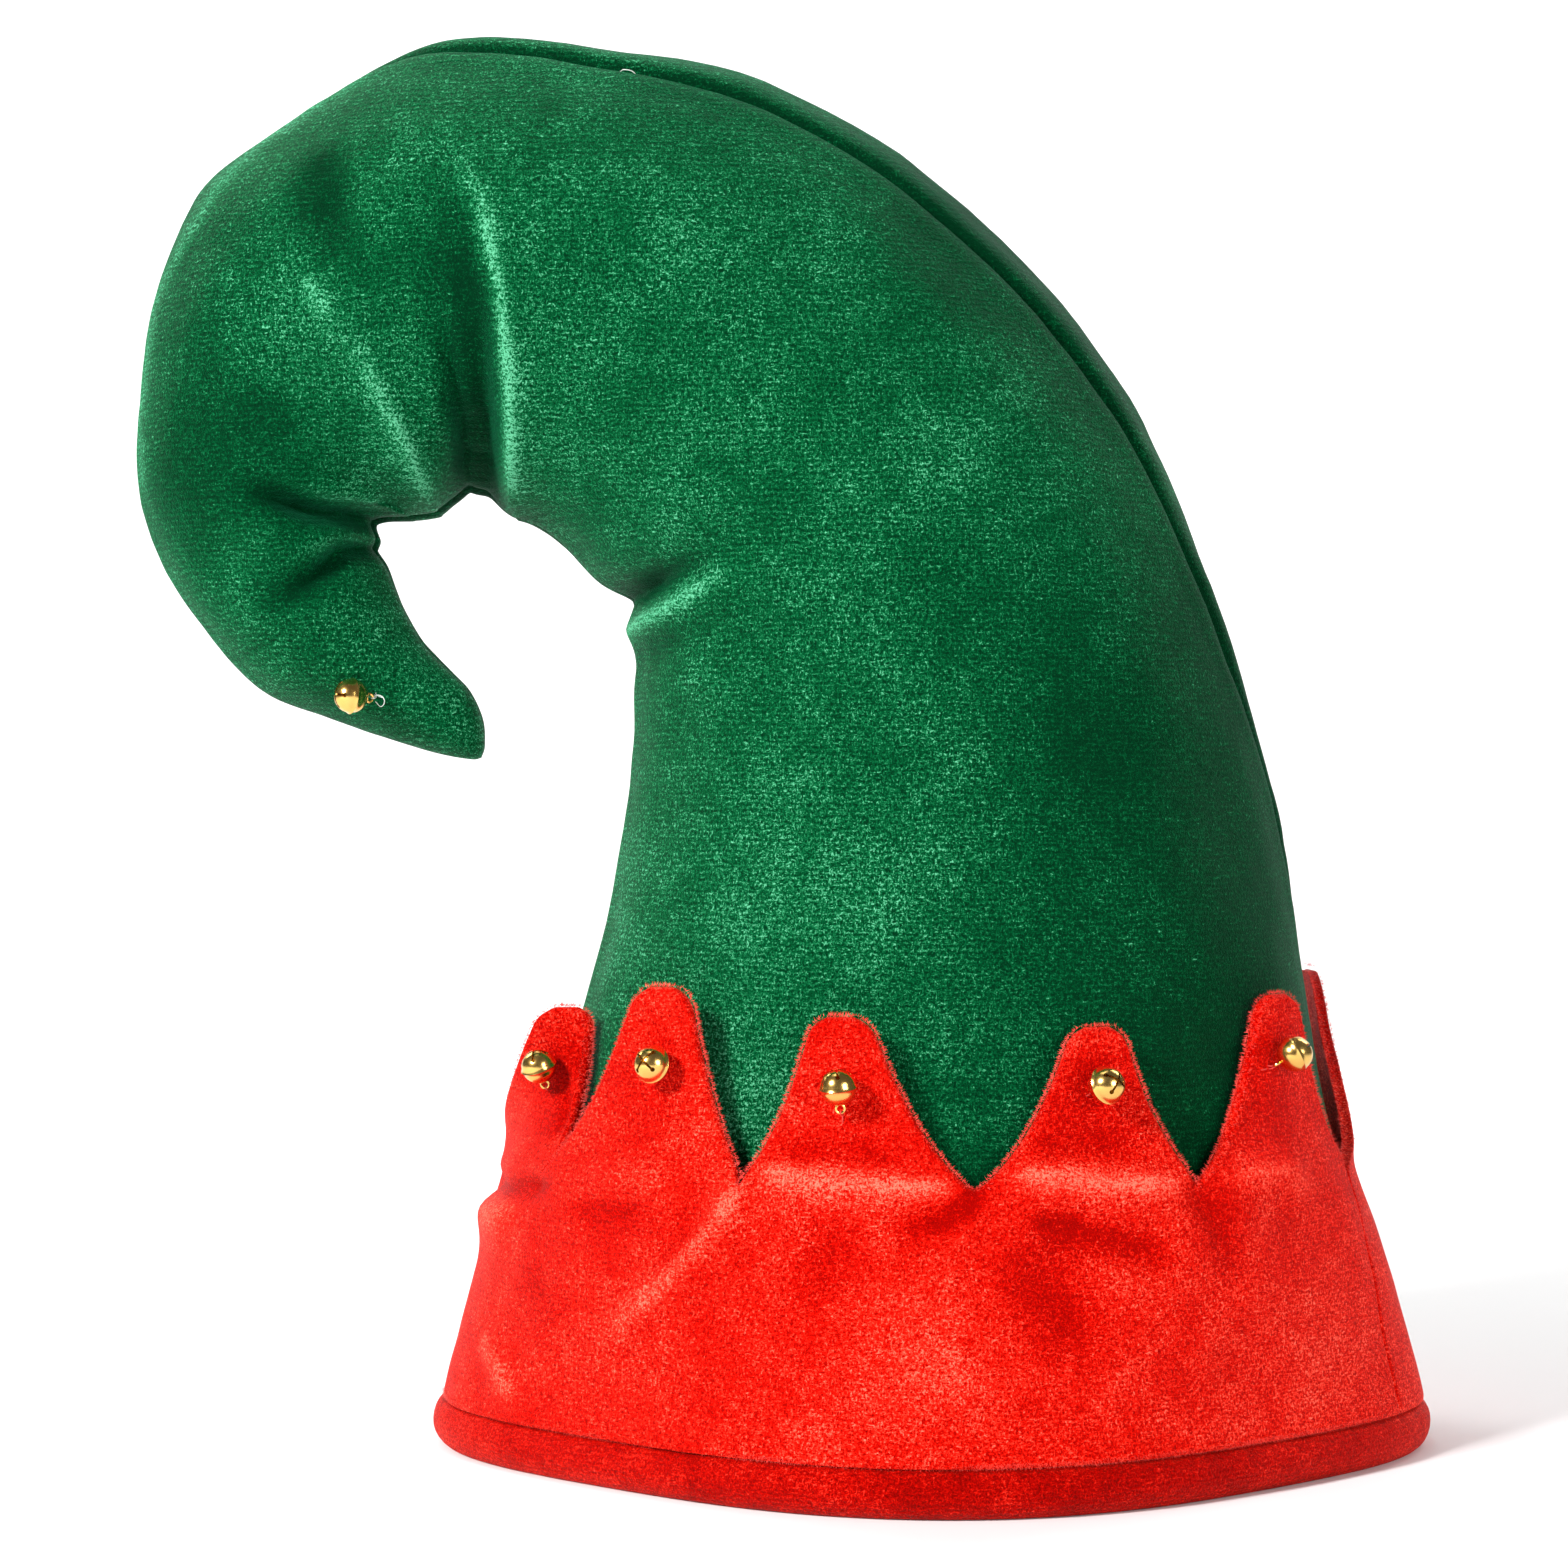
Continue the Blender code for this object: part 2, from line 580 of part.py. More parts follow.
def add_cuff_bells(collection, cutters):
    """One bell on the outer side of each cuff point."""
    for k, seat in enumerate(CUFF_BELLS):
        tip_z = CUFF_POINTS[k].tip_z
        rise = (seat.z - NOTCH_Z) / (tip_z - NOTCH_Z)

        def at(across, height, k=k):
            return place_on_point(k, across, height, 0.0)

        normal = surface_normal(at, seat.across, rise, 0.3, 0.1)
        sideways = Vector((0, 0, 1)).cross(normal).normalized()
        swing = math.radians(seat.loop_deg)
        loop_way = Vector((0, 0, -math.cos(swing))) - sideways * math.sin(swing)
        bell(f"bell_{k + 1:02d}", collection, cutters, at(seat.across, rise), normal, loop_way)


def add_tip_bell(collection, cutters):
    """The bell on the front of the crown's tip."""
    def at(round_deg, s):
        return crown_point(s, round_deg, 0.0)

    normal = surface_normal(at, TIP_BELL_ROUND_DEG, TIP_BELL_SECTION, 12, 0.3)
    if normal.y > 0:
        normal = -normal
    swing = math.radians(TIP_BELL_LOOP_DEG)
    loop_way = Vector((-math.sin(swing), 0, -math.cos(swing)))
    place = at(TIP_BELL_ROUND_DEG, TIP_BELL_SECTION)
    bell("bell_tip", collection, cutters, place, normal, loop_way)


def main():
    collection = start_empty()
    cutters = bpy.data.collections.new("cutters")
    bpy.context.scene.collection.children.link(cutters)
    crown_panel("crown_front", collection, is_front=True)
    crown_panel("crown_back", collection, is_front=False)
    cuff_strip("cuff_front", collection, first=0)
    cuff_strip("cuff_back", collection, first=POINTS_IN_FRONT)
    hem_roll("hem_roll", collection)
    add_cuff_bells(collection, cutters)
    add_tip_bell(collection, cutters)
    bpy.data.collections.remove(cutters)


main()
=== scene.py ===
"""Elf hat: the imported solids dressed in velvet, with fine folds, pile, hollow bells and thread."""
import math
import random
from collections import namedtuple

import bmesh
import bpy
import numpy as np
from mathutils import Matrix, Vector, noise


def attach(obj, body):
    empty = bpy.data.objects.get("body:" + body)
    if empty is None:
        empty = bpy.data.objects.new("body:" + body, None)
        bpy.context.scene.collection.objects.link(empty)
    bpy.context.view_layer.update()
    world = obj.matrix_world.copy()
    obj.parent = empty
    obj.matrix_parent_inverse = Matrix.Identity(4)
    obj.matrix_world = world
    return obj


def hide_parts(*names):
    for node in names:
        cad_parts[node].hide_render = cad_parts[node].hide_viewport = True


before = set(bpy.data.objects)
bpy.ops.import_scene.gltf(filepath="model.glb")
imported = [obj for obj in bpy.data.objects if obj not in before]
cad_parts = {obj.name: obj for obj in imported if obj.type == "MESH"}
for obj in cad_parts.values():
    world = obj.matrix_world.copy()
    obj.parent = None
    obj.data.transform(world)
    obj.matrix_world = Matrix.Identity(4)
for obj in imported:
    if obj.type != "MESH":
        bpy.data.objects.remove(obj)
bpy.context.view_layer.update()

# Studio
# A pale table that sweeps up behind the hat, a large soft light at the upper left, a weaker one
# from the right and a soft one from above. The camera is level with the middle of the hat.
studio = bpy.data.collections.new("studio")
bpy.context.scene.collection.children.link(studio)

CAMERA_PLACE = (0.0, -0.726, 0.1567)
CAMERA_LENS = 69.45
camera_data = bpy.data.cameras.new("camera")
camera_data.lens = CAMERA_LENS
camera_data.sensor_width = 36
camera_data.clip_start = 0.01
camera = bpy.data.objects.new("camera", camera_data)
camera.location = CAMERA_PLACE
camera.rotation_euler = (math.pi / 2, 0, 0)
studio.objects.link(camera)
bpy.context.scene.camera = camera
bpy.context.scene.view_settings.view_transform = "Standard"


class Wire:
    """A socket whose sums and products add their Math nodes."""

    def __init__(self, finish, socket):
        self.finish, self.socket = finish, socket

    def math(self, operation, *others):
        return self.finish.node("ShaderNodeMath", {"operation": operation}, self, *others)

    def __add__(self, other):
        return self.math("ADD", other)

    def __sub__(self, other):
        return self.math("SUBTRACT", other)

    def __rsub__(self, other):
        return self.finish.node("ShaderNodeMath", {"operation": "SUBTRACT"}, other, self)

    def __mul__(self, other):
        return self.math("MULTIPLY", other)

    def __pow__(self, other):
        return self.math("POWER", other)

    __radd__ = __add__
    __rmul__ = __mul__

    def clamp(self):
        return self.finish.node("ShaderNodeClamp", {}, self, 0.0, 1.0)

    def between(self, low, high):
        """0 below low, 1 above high, smooth between them."""
        kind = {"interpolation_type": "SMOOTHSTEP"}
        return self.finish.node("ShaderNodeMapRange", kind, self, low, high, 0.0, 1.0)


class Finish:
    """A material that is being put together on one Principled shader."""

    def __init__(self, name):
        self.material = bpy.data.materials.new(name)
        self.material.use_nodes = True
        self.tree = self.material.node_tree
        self.shader = self.tree.nodes["Principled BSDF"]

    def node(self, kind, settings, *inputs, out=0):
        """Adds a node with its settings, feeds its sockets in order and returns one output."""
        made = self.tree.nodes.new(kind)
        for name, value in settings.items():
            if name == "stops":
                while len(made.color_ramp.elements) < len(value):
                    made.color_ramp.elements.new(0.5)
                for element, (place, colour) in zip(made.color_ramp.elements, value):
                    element.position, element.color = place, (*colour, 1)
            else:
                setattr(made, name, value)
        sockets = [s for s in made.inputs if s.enabled]
        for socket, value in zip(sockets, inputs):
            if value is not None:
                self.feed(socket, value)
        outputs = [s for s in made.outputs if s.enabled]
        return Wire(self, outputs[out])

    def feed(self, socket, value):
        if isinstance(value, Wire):
            self.tree.links.new(value.socket, socket)
        elif isinstance(value, tuple) and len(value) == 3 and socket.type == "RGBA":
            socket.default_value = (*value, 1)
        else:
            socket.default_value = value

    def set(self, **values):
        """Sets or links sockets of the shader by name, written with underscores."""
        for name, value in values.items():
            self.feed(self.shader.inputs[name.replace("_", " ")], value)

    def place(self, scale=(1, 1, 1), turn=(0, 0, 0)):
        """Object coordinates, scaled and turned by a Mapping node."""
        spot = self.node("ShaderNodeTexCoord", {}, out=3)
        return self.node("ShaderNodeMapping", {}, spot, (0, 0, 0), turn, scale)

    def noise(self, scale, detail=2.0, rough=0.5, spot=None):
        spot = spot or self.place()
        return self.node("ShaderNodeTexNoise", {}, spot, scale, detail, rough)

    def mix(self, share, a, b):
        """A colour between a and b."""
        made = self.tree.nodes.new("ShaderNodeMix")
        made.data_type = "RGBA"
        for index, value in ((0, share), (6, a), (7, b)):
            self.feed(made.inputs[index], value)
        return Wire(self, made.outputs[2])


backdrop_mesh = bmesh.new()
bmesh.ops.create_grid(backdrop_mesh, x_segments=1, y_segments=40, size=1)
BACKDROP_WIDTH, BACKDROP_FRONT, BACKDROP_BACK, BACKDROP_RISE, BACKDROP_BEND = 5.0, -2.2, 1.7, 2.4, 0.8
for corner in backdrop_mesh.verts:
    share = (corner.co.y + 1) / 2
    flat_run = BACKDROP_BACK - BACKDROP_FRONT
    arc_run = BACKDROP_BEND * math.pi / 2
    gone = share * (flat_run + arc_run + BACKDROP_RISE)
    if gone < flat_run:
        y, z = BACKDROP_FRONT + gone, 0.0
    elif gone < flat_run + arc_run:
        angle = (gone - flat_run) / BACKDROP_BEND
        y = BACKDROP_BACK + BACKDROP_BEND * math.sin(angle)
        z = BACKDROP_BEND * (1 - math.cos(angle))
    else:
        y, z = BACKDROP_BACK + BACKDROP_BEND, BACKDROP_BEND + gone - flat_run - arc_run
    corner.co = (corner.co.x * BACKDROP_WIDTH / 2, y, z)
backdrop_data = bpy.data.meshes.new("backdrop")
backdrop_mesh.to_mesh(backdrop_data)
backdrop_mesh.free()
backdrop_data.shade_smooth()
backdrop = bpy.data.objects.new("backdrop", backdrop_data)
studio.objects.link(backdrop)
paper = Finish("white paper")
paper.set(Base_Color=(0.93, 0.93, 0.93), Roughness=0.9)
paper.set(Specular_IOR_Level=0.1)
backdrop_data.materials.append(paper.material)

StudioLight = namedtuple("StudioLight", "name place aim width height watts")
STUDIO_LIGHTS = (
    StudioLight("key", (-1.05, -0.95, 0.90), (0.0, 0.0, 0.16), 0.28, 0.28, 36),
    StudioLight("fill", (1.1, -1.3, 0.5), (0.0, 0.0, 0.10), 0.7, 0.7, 17),
    StudioLight("top", (-0.3, 0.3, 1.5), (0.0, 0.0, 0.2), 0.8, 0.8, 5),
    StudioLight("wall left", (-1.1, 0.9, 1.3), (0.3, 2.4, 0.3), 1.0, 1.0, 24),
    StudioLight("wall right", (1.1, 0.9, 1.3), (-0.3, 2.4, 0.3), 1.0, 1.0, 24),
)
for spec in STUDIO_LIGHTS:
    lamp = bpy.data.lights.new(spec.name, "AREA")
    lamp.shape = "RECTANGLE"
    lamp.size, lamp.size_y, lamp.energy = spec.width, spec.height, spec.watts
    stand = bpy.data.objects.new(spec.name, lamp)
    stand.location = spec.place
    aim = Vector(spec.aim) - Vector(spec.place)
    stand.rotation_euler = aim.to_track_quat("-Z", "Y").to_euler()
    studio.objects.link(stand)

air = bpy.data.worlds.new("soft white")
air.use_nodes = True
air.node_tree.nodes["Background"].inputs["Color"].default_value = (1, 1, 1, 1)
air.node_tree.nodes["Background"].inputs["Strength"].default_value = 0.12
bpy.context.scene.world = air

# Crown
# Two panels of deep green velvet on a thin foam, cut in the curved horn, sewn right sides together
# along both curves and turned. The outer seam lies a little towards the front over the top of the
# bend. Sections run from the hem to the tip, and their edges are seen from the front.
MM = 0.001
CROWN_WALL = 2.4
SEAM_GAP = 0.3
CrownSection = namedtuple("CrownSection", "outer_x outer_z inner_x inner_z half_depth seam_roll pinch")
CROWN_SECTIONS = (
    CrownSection(149.0, 9.3, -78.4, 9.3, 79.9, 0, 0.094),
    CrownSection(141.9, 33.0, -70.4, 33.0, 74.8, 0, 0.07),
    CrownSection(133.8, 59.3, -60.4, 59.3, 68.4, 0, 0.01),
    CrownSection(127.4, 83.3, -52.6, 83.3, 63.0, 0, 0),
    CrownSection(124.1, 104.9, -47.3, 104.9, 59.5, 0, 0),
    CrownSection(121.4, 128.9, -41.0, 128.9, 56.5, 3, 0),
    CrownSection(116.9, 152.9, -37.2, 152.9, 54.0, 8, 0),
    CrownSection(110.4, 178.1, -35.8, 173.0, 52.0, 15, 0),
    CrownSection(100.6, 208.1, -35.8, 187.5, 50.0, 22, 0),
    CrownSection(84.2, 246.0, -37.4, 199.4, 48.0, 27, 0),
    CrownSection(59.0, 279.6, -45.2, 206.4, 46.5, 30, 0),
    CrownSection(26.6, 307.9, -52.8, 214.4, 45.0, 32, 0),
    CrownSection(-9.4, 326.2, -61.4, 220.6, 44.0, 32, 0),
    CrownSection(-44.2, 332.6, -70.1, 223.0, 42.5, 29, 0),
    CrownSection(-72.0, 334.2, -78.5, 224.4, 40.5, 24, 0),
    CrownSection(-95.6, 328.0, -83.5, 222.6, 38.0, 13, 0),
    CrownSection(-122.6, 311.4, -88.6, 220.9, 35.5, 4, 0),
    CrownSection(-139.9, 296.0, -92.4, 219.8, 33.3, 0, 0),
    CrownSection(-150.0, 271.5, -94.8, 218.9, 31.2, 0, 0),
    CrownSection(-153.3, 249.0, -96.4, 217.4, 29.1, 0, 0),
    CrownSection(-154.1, 230.0, -96.5, 215.0, 27.5, 0, 0),
    CrownSection(-149.6, 212.4, -95.6, 210.6, 25.0, 0, 0),
    CrownSection(-139.4, 195.1, -92.6, 201.8, 22.0, 0, 0),
    CrownSection(-125.3, 179.5, -87.4, 191.8, 18.5, 0, 0),
    CrownSection(-110.2, 172.8, -80.6, 184.6, 15.0, 0, 0),
    CrownSection(-95.8, 167.8, -75.4, 179.3, 12.0, 0, 0),
    CrownSection(-84.0, 164.0, -72.2, 172.8, 8.5, 0, 0),
    CrownSection(-75.6, 162.4, -71.6, 166.4, 3.6, 0, 0),
    CrownSection(-72.6, 163.0, -72.6, 163.0, 0.0, 0, 0),
)
CROWN_LAST = len(CROWN_SECTIONS) - 1
CROWN_ROWS = 288
CROWN_COLUMNS = 112

# Folds, each a line seen from the front, sunk (positive) or raised (negative) at its middle. The
# widths are how far it spreads to the left and right of the way it runs; edge is 2 for a round
# fold and near 1 for a sharp one; the fades are the shares of its length over which it dies away.
Fold = namedtuple("Fold", "path sink left right edge fade_in fade_out")
CROWN_FOLDS = (
    Fold(((-63.8, 224), (-63.0, 246), (-64.5, 268), (-69.6, 290), (-81, 311)), -2.6, 2.2, 5.0, 1.4, 0.0, 0.6),
    Fold(((-71.5, 224), (-69.4, 240), (-69.8, 262), (-75.0, 290)), 7.5, 5.0, 3.4, 1.7, 0.0, 0.8),
    Fold(((-76.0, 224), (-75.4, 238), (-77.8, 262), (-84, 284)), 5.2, 2.2, 2.4, 1.3, 0.0, 0.8),
    Fold(((-83.5, 225), (-87.5, 236), (-96.4, 254), (-110.7, 270)), -2.8, 6.0, 2.8, 1.5, 0.0, 0.8),
    Fold(((-96.5, 218.0), (-109.4, 219.7), (-118, 222.5), (-128, 226.4)), 6.6, 2.2, 4.2, 1.3, 0.0, 0.5),
    Fold(((-96.5, 222.5), (-110, 225.5), (-122, 231)), -2.2, 5.0, 2.4, 1.7, 0.0, 0.7),
    Fold(((-96.0, 212.8), (-102.4, 211.2), (-109, 205), (-116.2, 200), (-124, 195.5)), 4.6, 2.4, 3.4, 1.3, 0.0, 0.7),
    Fold(((-96.5, 215.2), (-104, 215.0), (-113, 209.5), (-122, 204)), -1.8, 3.0, 3.0, 1.7, 0.0, 0.8),
    Fold(((-37.5, 200.0), (-24, 206.0), (-10, 212.5)), 4.8, 3.2, 2.6, 1.5, 0.0, 0.8),
    Fold(((-36.5, 193.5), (-24, 199.0), (-13.6, 205), (-4, 211)), -3.2, 2.8, 4.0, 1.5, 0.0, 0.8),
    Fold(((-36.2, 186.0), (-22, 192.0), (-8, 201)), 1.8, 4.4, 5.0, 1.8, 0.0, 0.8),
    Fold(((-108.4, 306), (-105.5, 295), (-102, 280), (-99, 266)), 2.4, 5.0, 6.0, 1.8, 0.5, 0.6),
    Fold(((-97, 306), (-93, 290), (-88, 272)), -1.3, 6.0, 6.0, 1.9, 0.5, 0.6),
    Fold(((-111, 276), (-105, 264), (-96, 252)), -1.4, 3.4, 3.4, 1.6, 0.5, 0.6),
    Fold(((-56, 300), (-50, 270), (-50, 240)), 1.0, 12.0, 12.0, 2.0, 0.5, 0.5),
    Fold(((-32, 170), (-14, 172), (6, 182)), 0.9, 6.0, 6.0, 2.0, 0.0, 0.8),
    Fold(((-120, 214), (-132, 206), (-140, 200)), 1.2, 5.0, 5.0, 2.0, 0.4, 0.6),
    Fold(((92, 190), (100, 150), (106, 110)), 1.0, 9.0, 12.0, 2.0, 0.5, 0.5),
)
# Painted shading: the crown is painted darker (positive) as shade in troughs and on the side turned from
# the light, and lighter (negative) as painted highlights along ridges and the lit rim. The lines and
# widths are given as for the folds.
CROWN_SHADES = (
    Fold(((-63.6, 226), (-62.9, 246), (-64.3, 268), (-69.2, 290), (-79, 309)), -0.56, 1.0, 1.7, 1.3, 0.0, 0.35),
    Fold(((-70.0, 224), (-68.4, 240), (-69.4, 262), (-74, 286), (-84, 306)), 0.44, 8.0, 3.0, 2.0, 0.0, 0.45),
    Fold(((-74.5, 226), (-74.5, 238), (-76.5, 262)), 0.25, 2.0, 2.0, 1.6, 0.0, 0.5),
    Fold(((-83.6, 226), (-87.4, 236), (-96.2, 254), (-104, 264)), -0.34, 2.6, 1.6, 1.5, 0.0, 0.4),
    Fold(((-111, 275), (-107, 268), (-103, 261)), -0.30, 2.4, 2.4, 1.6, 0.3, 0.3),
    Fold(((-56, 228), (-54, 255), (-58, 285), (-66, 305)), -0.04, 7.0, 12.0, 2.0, 0.0, 0.5),
    Fold(((-96.5, 217.6), (-109.4, 219.2), (-118, 222), (-128, 226)), 0.58, 1.6, 3.4, 1.6, 0.0, 0.35),
    Fold(((-97, 222.6), (-108, 223.8), (-120, 227.6)), -0.24, 2.6, 1.8, 1.8, 0.0, 0.4),
    Fold(((-96.0, 212.4), (-102.4, 210.8), (-109, 204.6), (-116.2, 199.6), (-124, 195)), 0.46, 1.6, 3.0, 1.6, 0.0, 0.4),
    Fold(((-97, 215.4), (-104, 214.6), (-112, 209.5), (-121, 203)), -0.26, 1.8, 1.6, 1.6, 0.0, 0.5),
    Fold(((-37.5, 200.0), (-24, 206.2), (-10, 212.6)), 0.50, 2.4, 1.8, 1.6, 0.0, 0.6),
    Fold(((-36.5, 194.0), (-24, 199.4), (-13.6, 205.4), (-6, 210)), -0.42, 1.5, 2.6, 1.5, 0.0, 0.5),
    Fold(((-36.2, 187.5), (-22, 193.2), (-8, 202)), 0.20, 3.0, 4.0, 1.8, 0.0, 0.6),
    Fold(((-108.4, 308), (-105.5, 295), (-102, 280), (-99, 268)), 0.34, 4.6, 6.0, 1.8, 0.2, 0.5),
    Fold(((-128, 236), (-120, 240), (-112, 246)), 0.18, 7.0, 7.0, 2.0, 0.3, 0.3),
    Fold(((-136, 205), (-126, 212), (-116, 214)), -0.12, 5.0, 5.0, 2.0, 0.3, 0.3),
    Fold(((-151, 216), (-153.5, 240), (-149, 272), (-124, 309), (-90, 329)), -0.26, 3.0, 2.4, 2.0, 0.1, 0.1),
    Fold(((-122, 306), (-134, 272), (-138, 236), (-130, 206)), 0.17, 14.0, 20.0, 2.0, 0.2, 0.2),
    Fold(((120, 70), (116, 130), (102, 190), (78, 240)), 0.30, 58.0, 30.0, 2.6, 0.0, 0.3),
    Fold(((92, 225), (62, 268), (30, 298), (-10, 318)), 0.29, 18.0, 14.0, 2.0, 0.2, 0.4),
    Fold(((-12, 66), (-8, 120), (-6, 170)), -0.10, 24.0, 32.0, 2.0, 0.2, 0.4),
    Fold(((26, 180), (44, 215), (40, 245)), 0.08, 22.0, 18.0, 2.0, 0.4, 0.4),
    Fold(((-44, 322), (-20, 318), (0, 310)), 0.14, 8.0, 9.0, 2.0, 0.3, 0.3),
)
BACK_FOLD_SHARE = 0.75
SEAM_HOLD = 0.4
SEAM_GROOVE = 2.6
SEAM_SWELL = 0.55
SWELLS = ((34.0, 0.9), (13.0, 0.35), (5.0, 0.12))


def along(rows, s):
    """The rows of a table at places s, on a smooth curve through them."""
    table = np.array(rows, dtype=float)
    last = len(table) - 1
    i = np.clip(s.astype(int), 0, last - 1)
    t = (s - i)[:, None]
    before, a, b, after = table[np.maximum(i - 1, 0)], table[i], table[i + 1], table[np.minimum(i + 2, last)]
    bend = (2 * before - 5 * a + 4 * b - after) * t ** 2 + (3 * a - before - 3 * b + after) * t ** 3
    return 0.5 * (2 * a + (b - before) * t + bend)


def fold_depth(folds, x, z):
    """How far folds push cloth in at places seen flat, summed over the folds; for a table of painted shading, how much
    painted shade.
    """
    total = np.zeros_like(x)
    for fold in folds:
        path = np.array(fold.path, dtype=float)
        runs = np.diff(path, axis=0)
        lengths = np.hypot(*runs.T)
        starts = np.concatenate(([0.0], np.cumsum(lengths)))
        nearest = np.full_like(x, 1e9)
        side, gone = np.zeros_like(x), np.zeros_like(x)
        for start, run, length, before in zip(path, runs, lengths, starts):
            dx, dz = x - start[0], z - start[1]
            share = np.clip((dx * run[0] + dz * run[1]) / length ** 2, 0, 1)
            miss = np.hypot(dx - share * run[0], dz - share * run[1])
            closer = miss < nearest
            nearest[closer] = miss[closer]
            side[closer] = (run[0] * dz - run[1] * dx)[closer]
            gone[closer] = ((before + share * length) / starts[-1])[closer]
        width = np.where(side > 0, fold.left, fold.right)
        fade = np.ones_like(x)
        if fold.fade_in:
            fade *= np.clip(gone / fold.fade_in, 0, 1) ** 1.5
        if fold.fade_out:
            fade *= np.clip((1 - gone) / fold.fade_out, 0, 1) ** 1.5
        total += fold.sink * fade * np.exp(-((nearest / width) ** fold.edge))
    return total


def unevenness(places, swells, seed):
    """Small swells of cloth, in millimetres, from smooth noise in space."""
    found = np.zeros(len(places))
    for i, place in enumerate(places):
        spot = Vector(place)
        for size, height in swells:
            found[i] += height * noise.noise(spot / size + Vector((seed, 7 * seed, size)))
    return found


def crown_places(s, turn_deg, inset, is_front):
    """Places on the crown at sections s. turn_deg is 0 at the outer edge and 90 at the front."""
    row = along(CROWN_SECTIONS, s)
    outer, inner = row[:, 0:2], row[:, 2:4]
    across = outer - inner
    half_width = np.maximum(np.hypot(*across.T) / 2, 1e-4)
    half_depth = np.maximum(row[:, 4], 1e-4)
    outward = across / (2 * half_width[:, None])
    centre = (outer + inner) / 2
    turn = np.radians(turn_deg)
    pinched = 1 - row[:, 6] * np.sin(2 * turn) ** 2
    flat = centre + outward * (half_width * np.cos(turn) * pinched)[:, None]
    place = np.stack([flat[:, 0], -half_depth * np.sin(turn) * pinched, flat[:, 1]], axis=1)
    tilt = np.cos(turn) / half_width
    normal = np.stack([outward[:, 0] * tilt, -np.sin(turn) / half_depth, outward[:, 1] * tilt], axis=1)
    normal /= np.maximum(np.linalg.norm(normal, axis=1), 1e-9)[:, None]
    narrow = np.minimum(half_width, half_depth)
    slim = np.minimum(1, narrow / 20)
    off_seam = SEAM_HOLD + (1 - SEAM_HOLD) * np.minimum(1, 2.5 * np.abs(np.sin(turn)))
    share = 1.0 if is_front else BACK_FOLD_SHARE
    sink = share * fold_depth(CROWN_FOLDS, place[:, 0], place[:, 2]) * slim * off_seam
    roll = np.radians(np.maximum(row[:, 5], 0))
    speed = np.hypot(half_width * np.sin(turn), half_depth * np.cos(turn))
    groove = np.zeros_like(s)
    for from_seam in (np.abs(turn - roll) * speed, (math.pi - np.abs(turn)) * half_depth):
        groove = np.maximum(groove, slim * np.exp(-((from_seam / 2.0) ** 2)))
        sink += SEAM_GROOVE * slim * np.exp(-((from_seam / 1.7) ** 2))
        sink -= SEAM_SWELL * slim * np.exp(-(((from_seam - 5.5) / 3.4) ** 2))
    sink += unevenness(place, SWELLS, 1 if is_front else 2) * slim
    depth = sink + np.minimum(inset, 0.55 * narrow)
    return place - normal * depth[:, None], sink, groove


def crown_rows(share):
    """Section places with more rows in the bend and curl, where the folds are."""
    knots = ((0, 0), (0.18, 8), (0.88, 24.5), (1, CROWN_LAST))
    return np.interp(share, *np.array(knots).T)


def wall(built, places_for):
    """Gives an open grid its thickness: extrudes it, then places the outer and the inner side."""
    grown = bmesh.ops.extrude_face_region(built, geom=built.faces[:], use_keep_orig=True)
    outer = {g for g in grown["geom"] if isinstance(g, bmesh.types.BMVert)}
    for side, is_outer in (([v for v in built.verts if v in outer], True),
                           ([v for v in built.verts if v not in outer], False)):
        for corner, place in zip(side, places_for(side, is_outer)):
            corner.co = Vector(place) * MM
    return outer


def finish_cloth(built, name, finish, inner_finish):
    """Turns a wall into a smooth object with its outer and inner materials."""
    mesh = bpy.data.meshes.new(name)
    built.to_mesh(mesh)
    built.free()
    mesh.shade_smooth()
    mesh.materials.append(finish)
    mesh.materials.append(inner_finish)
    made = bpy.data.objects.new(name, mesh)
    hat.objects.link(made)
    return made


hat = bpy.data.collections.new("hat")
bpy.context.scene.collection.children.link(hat)


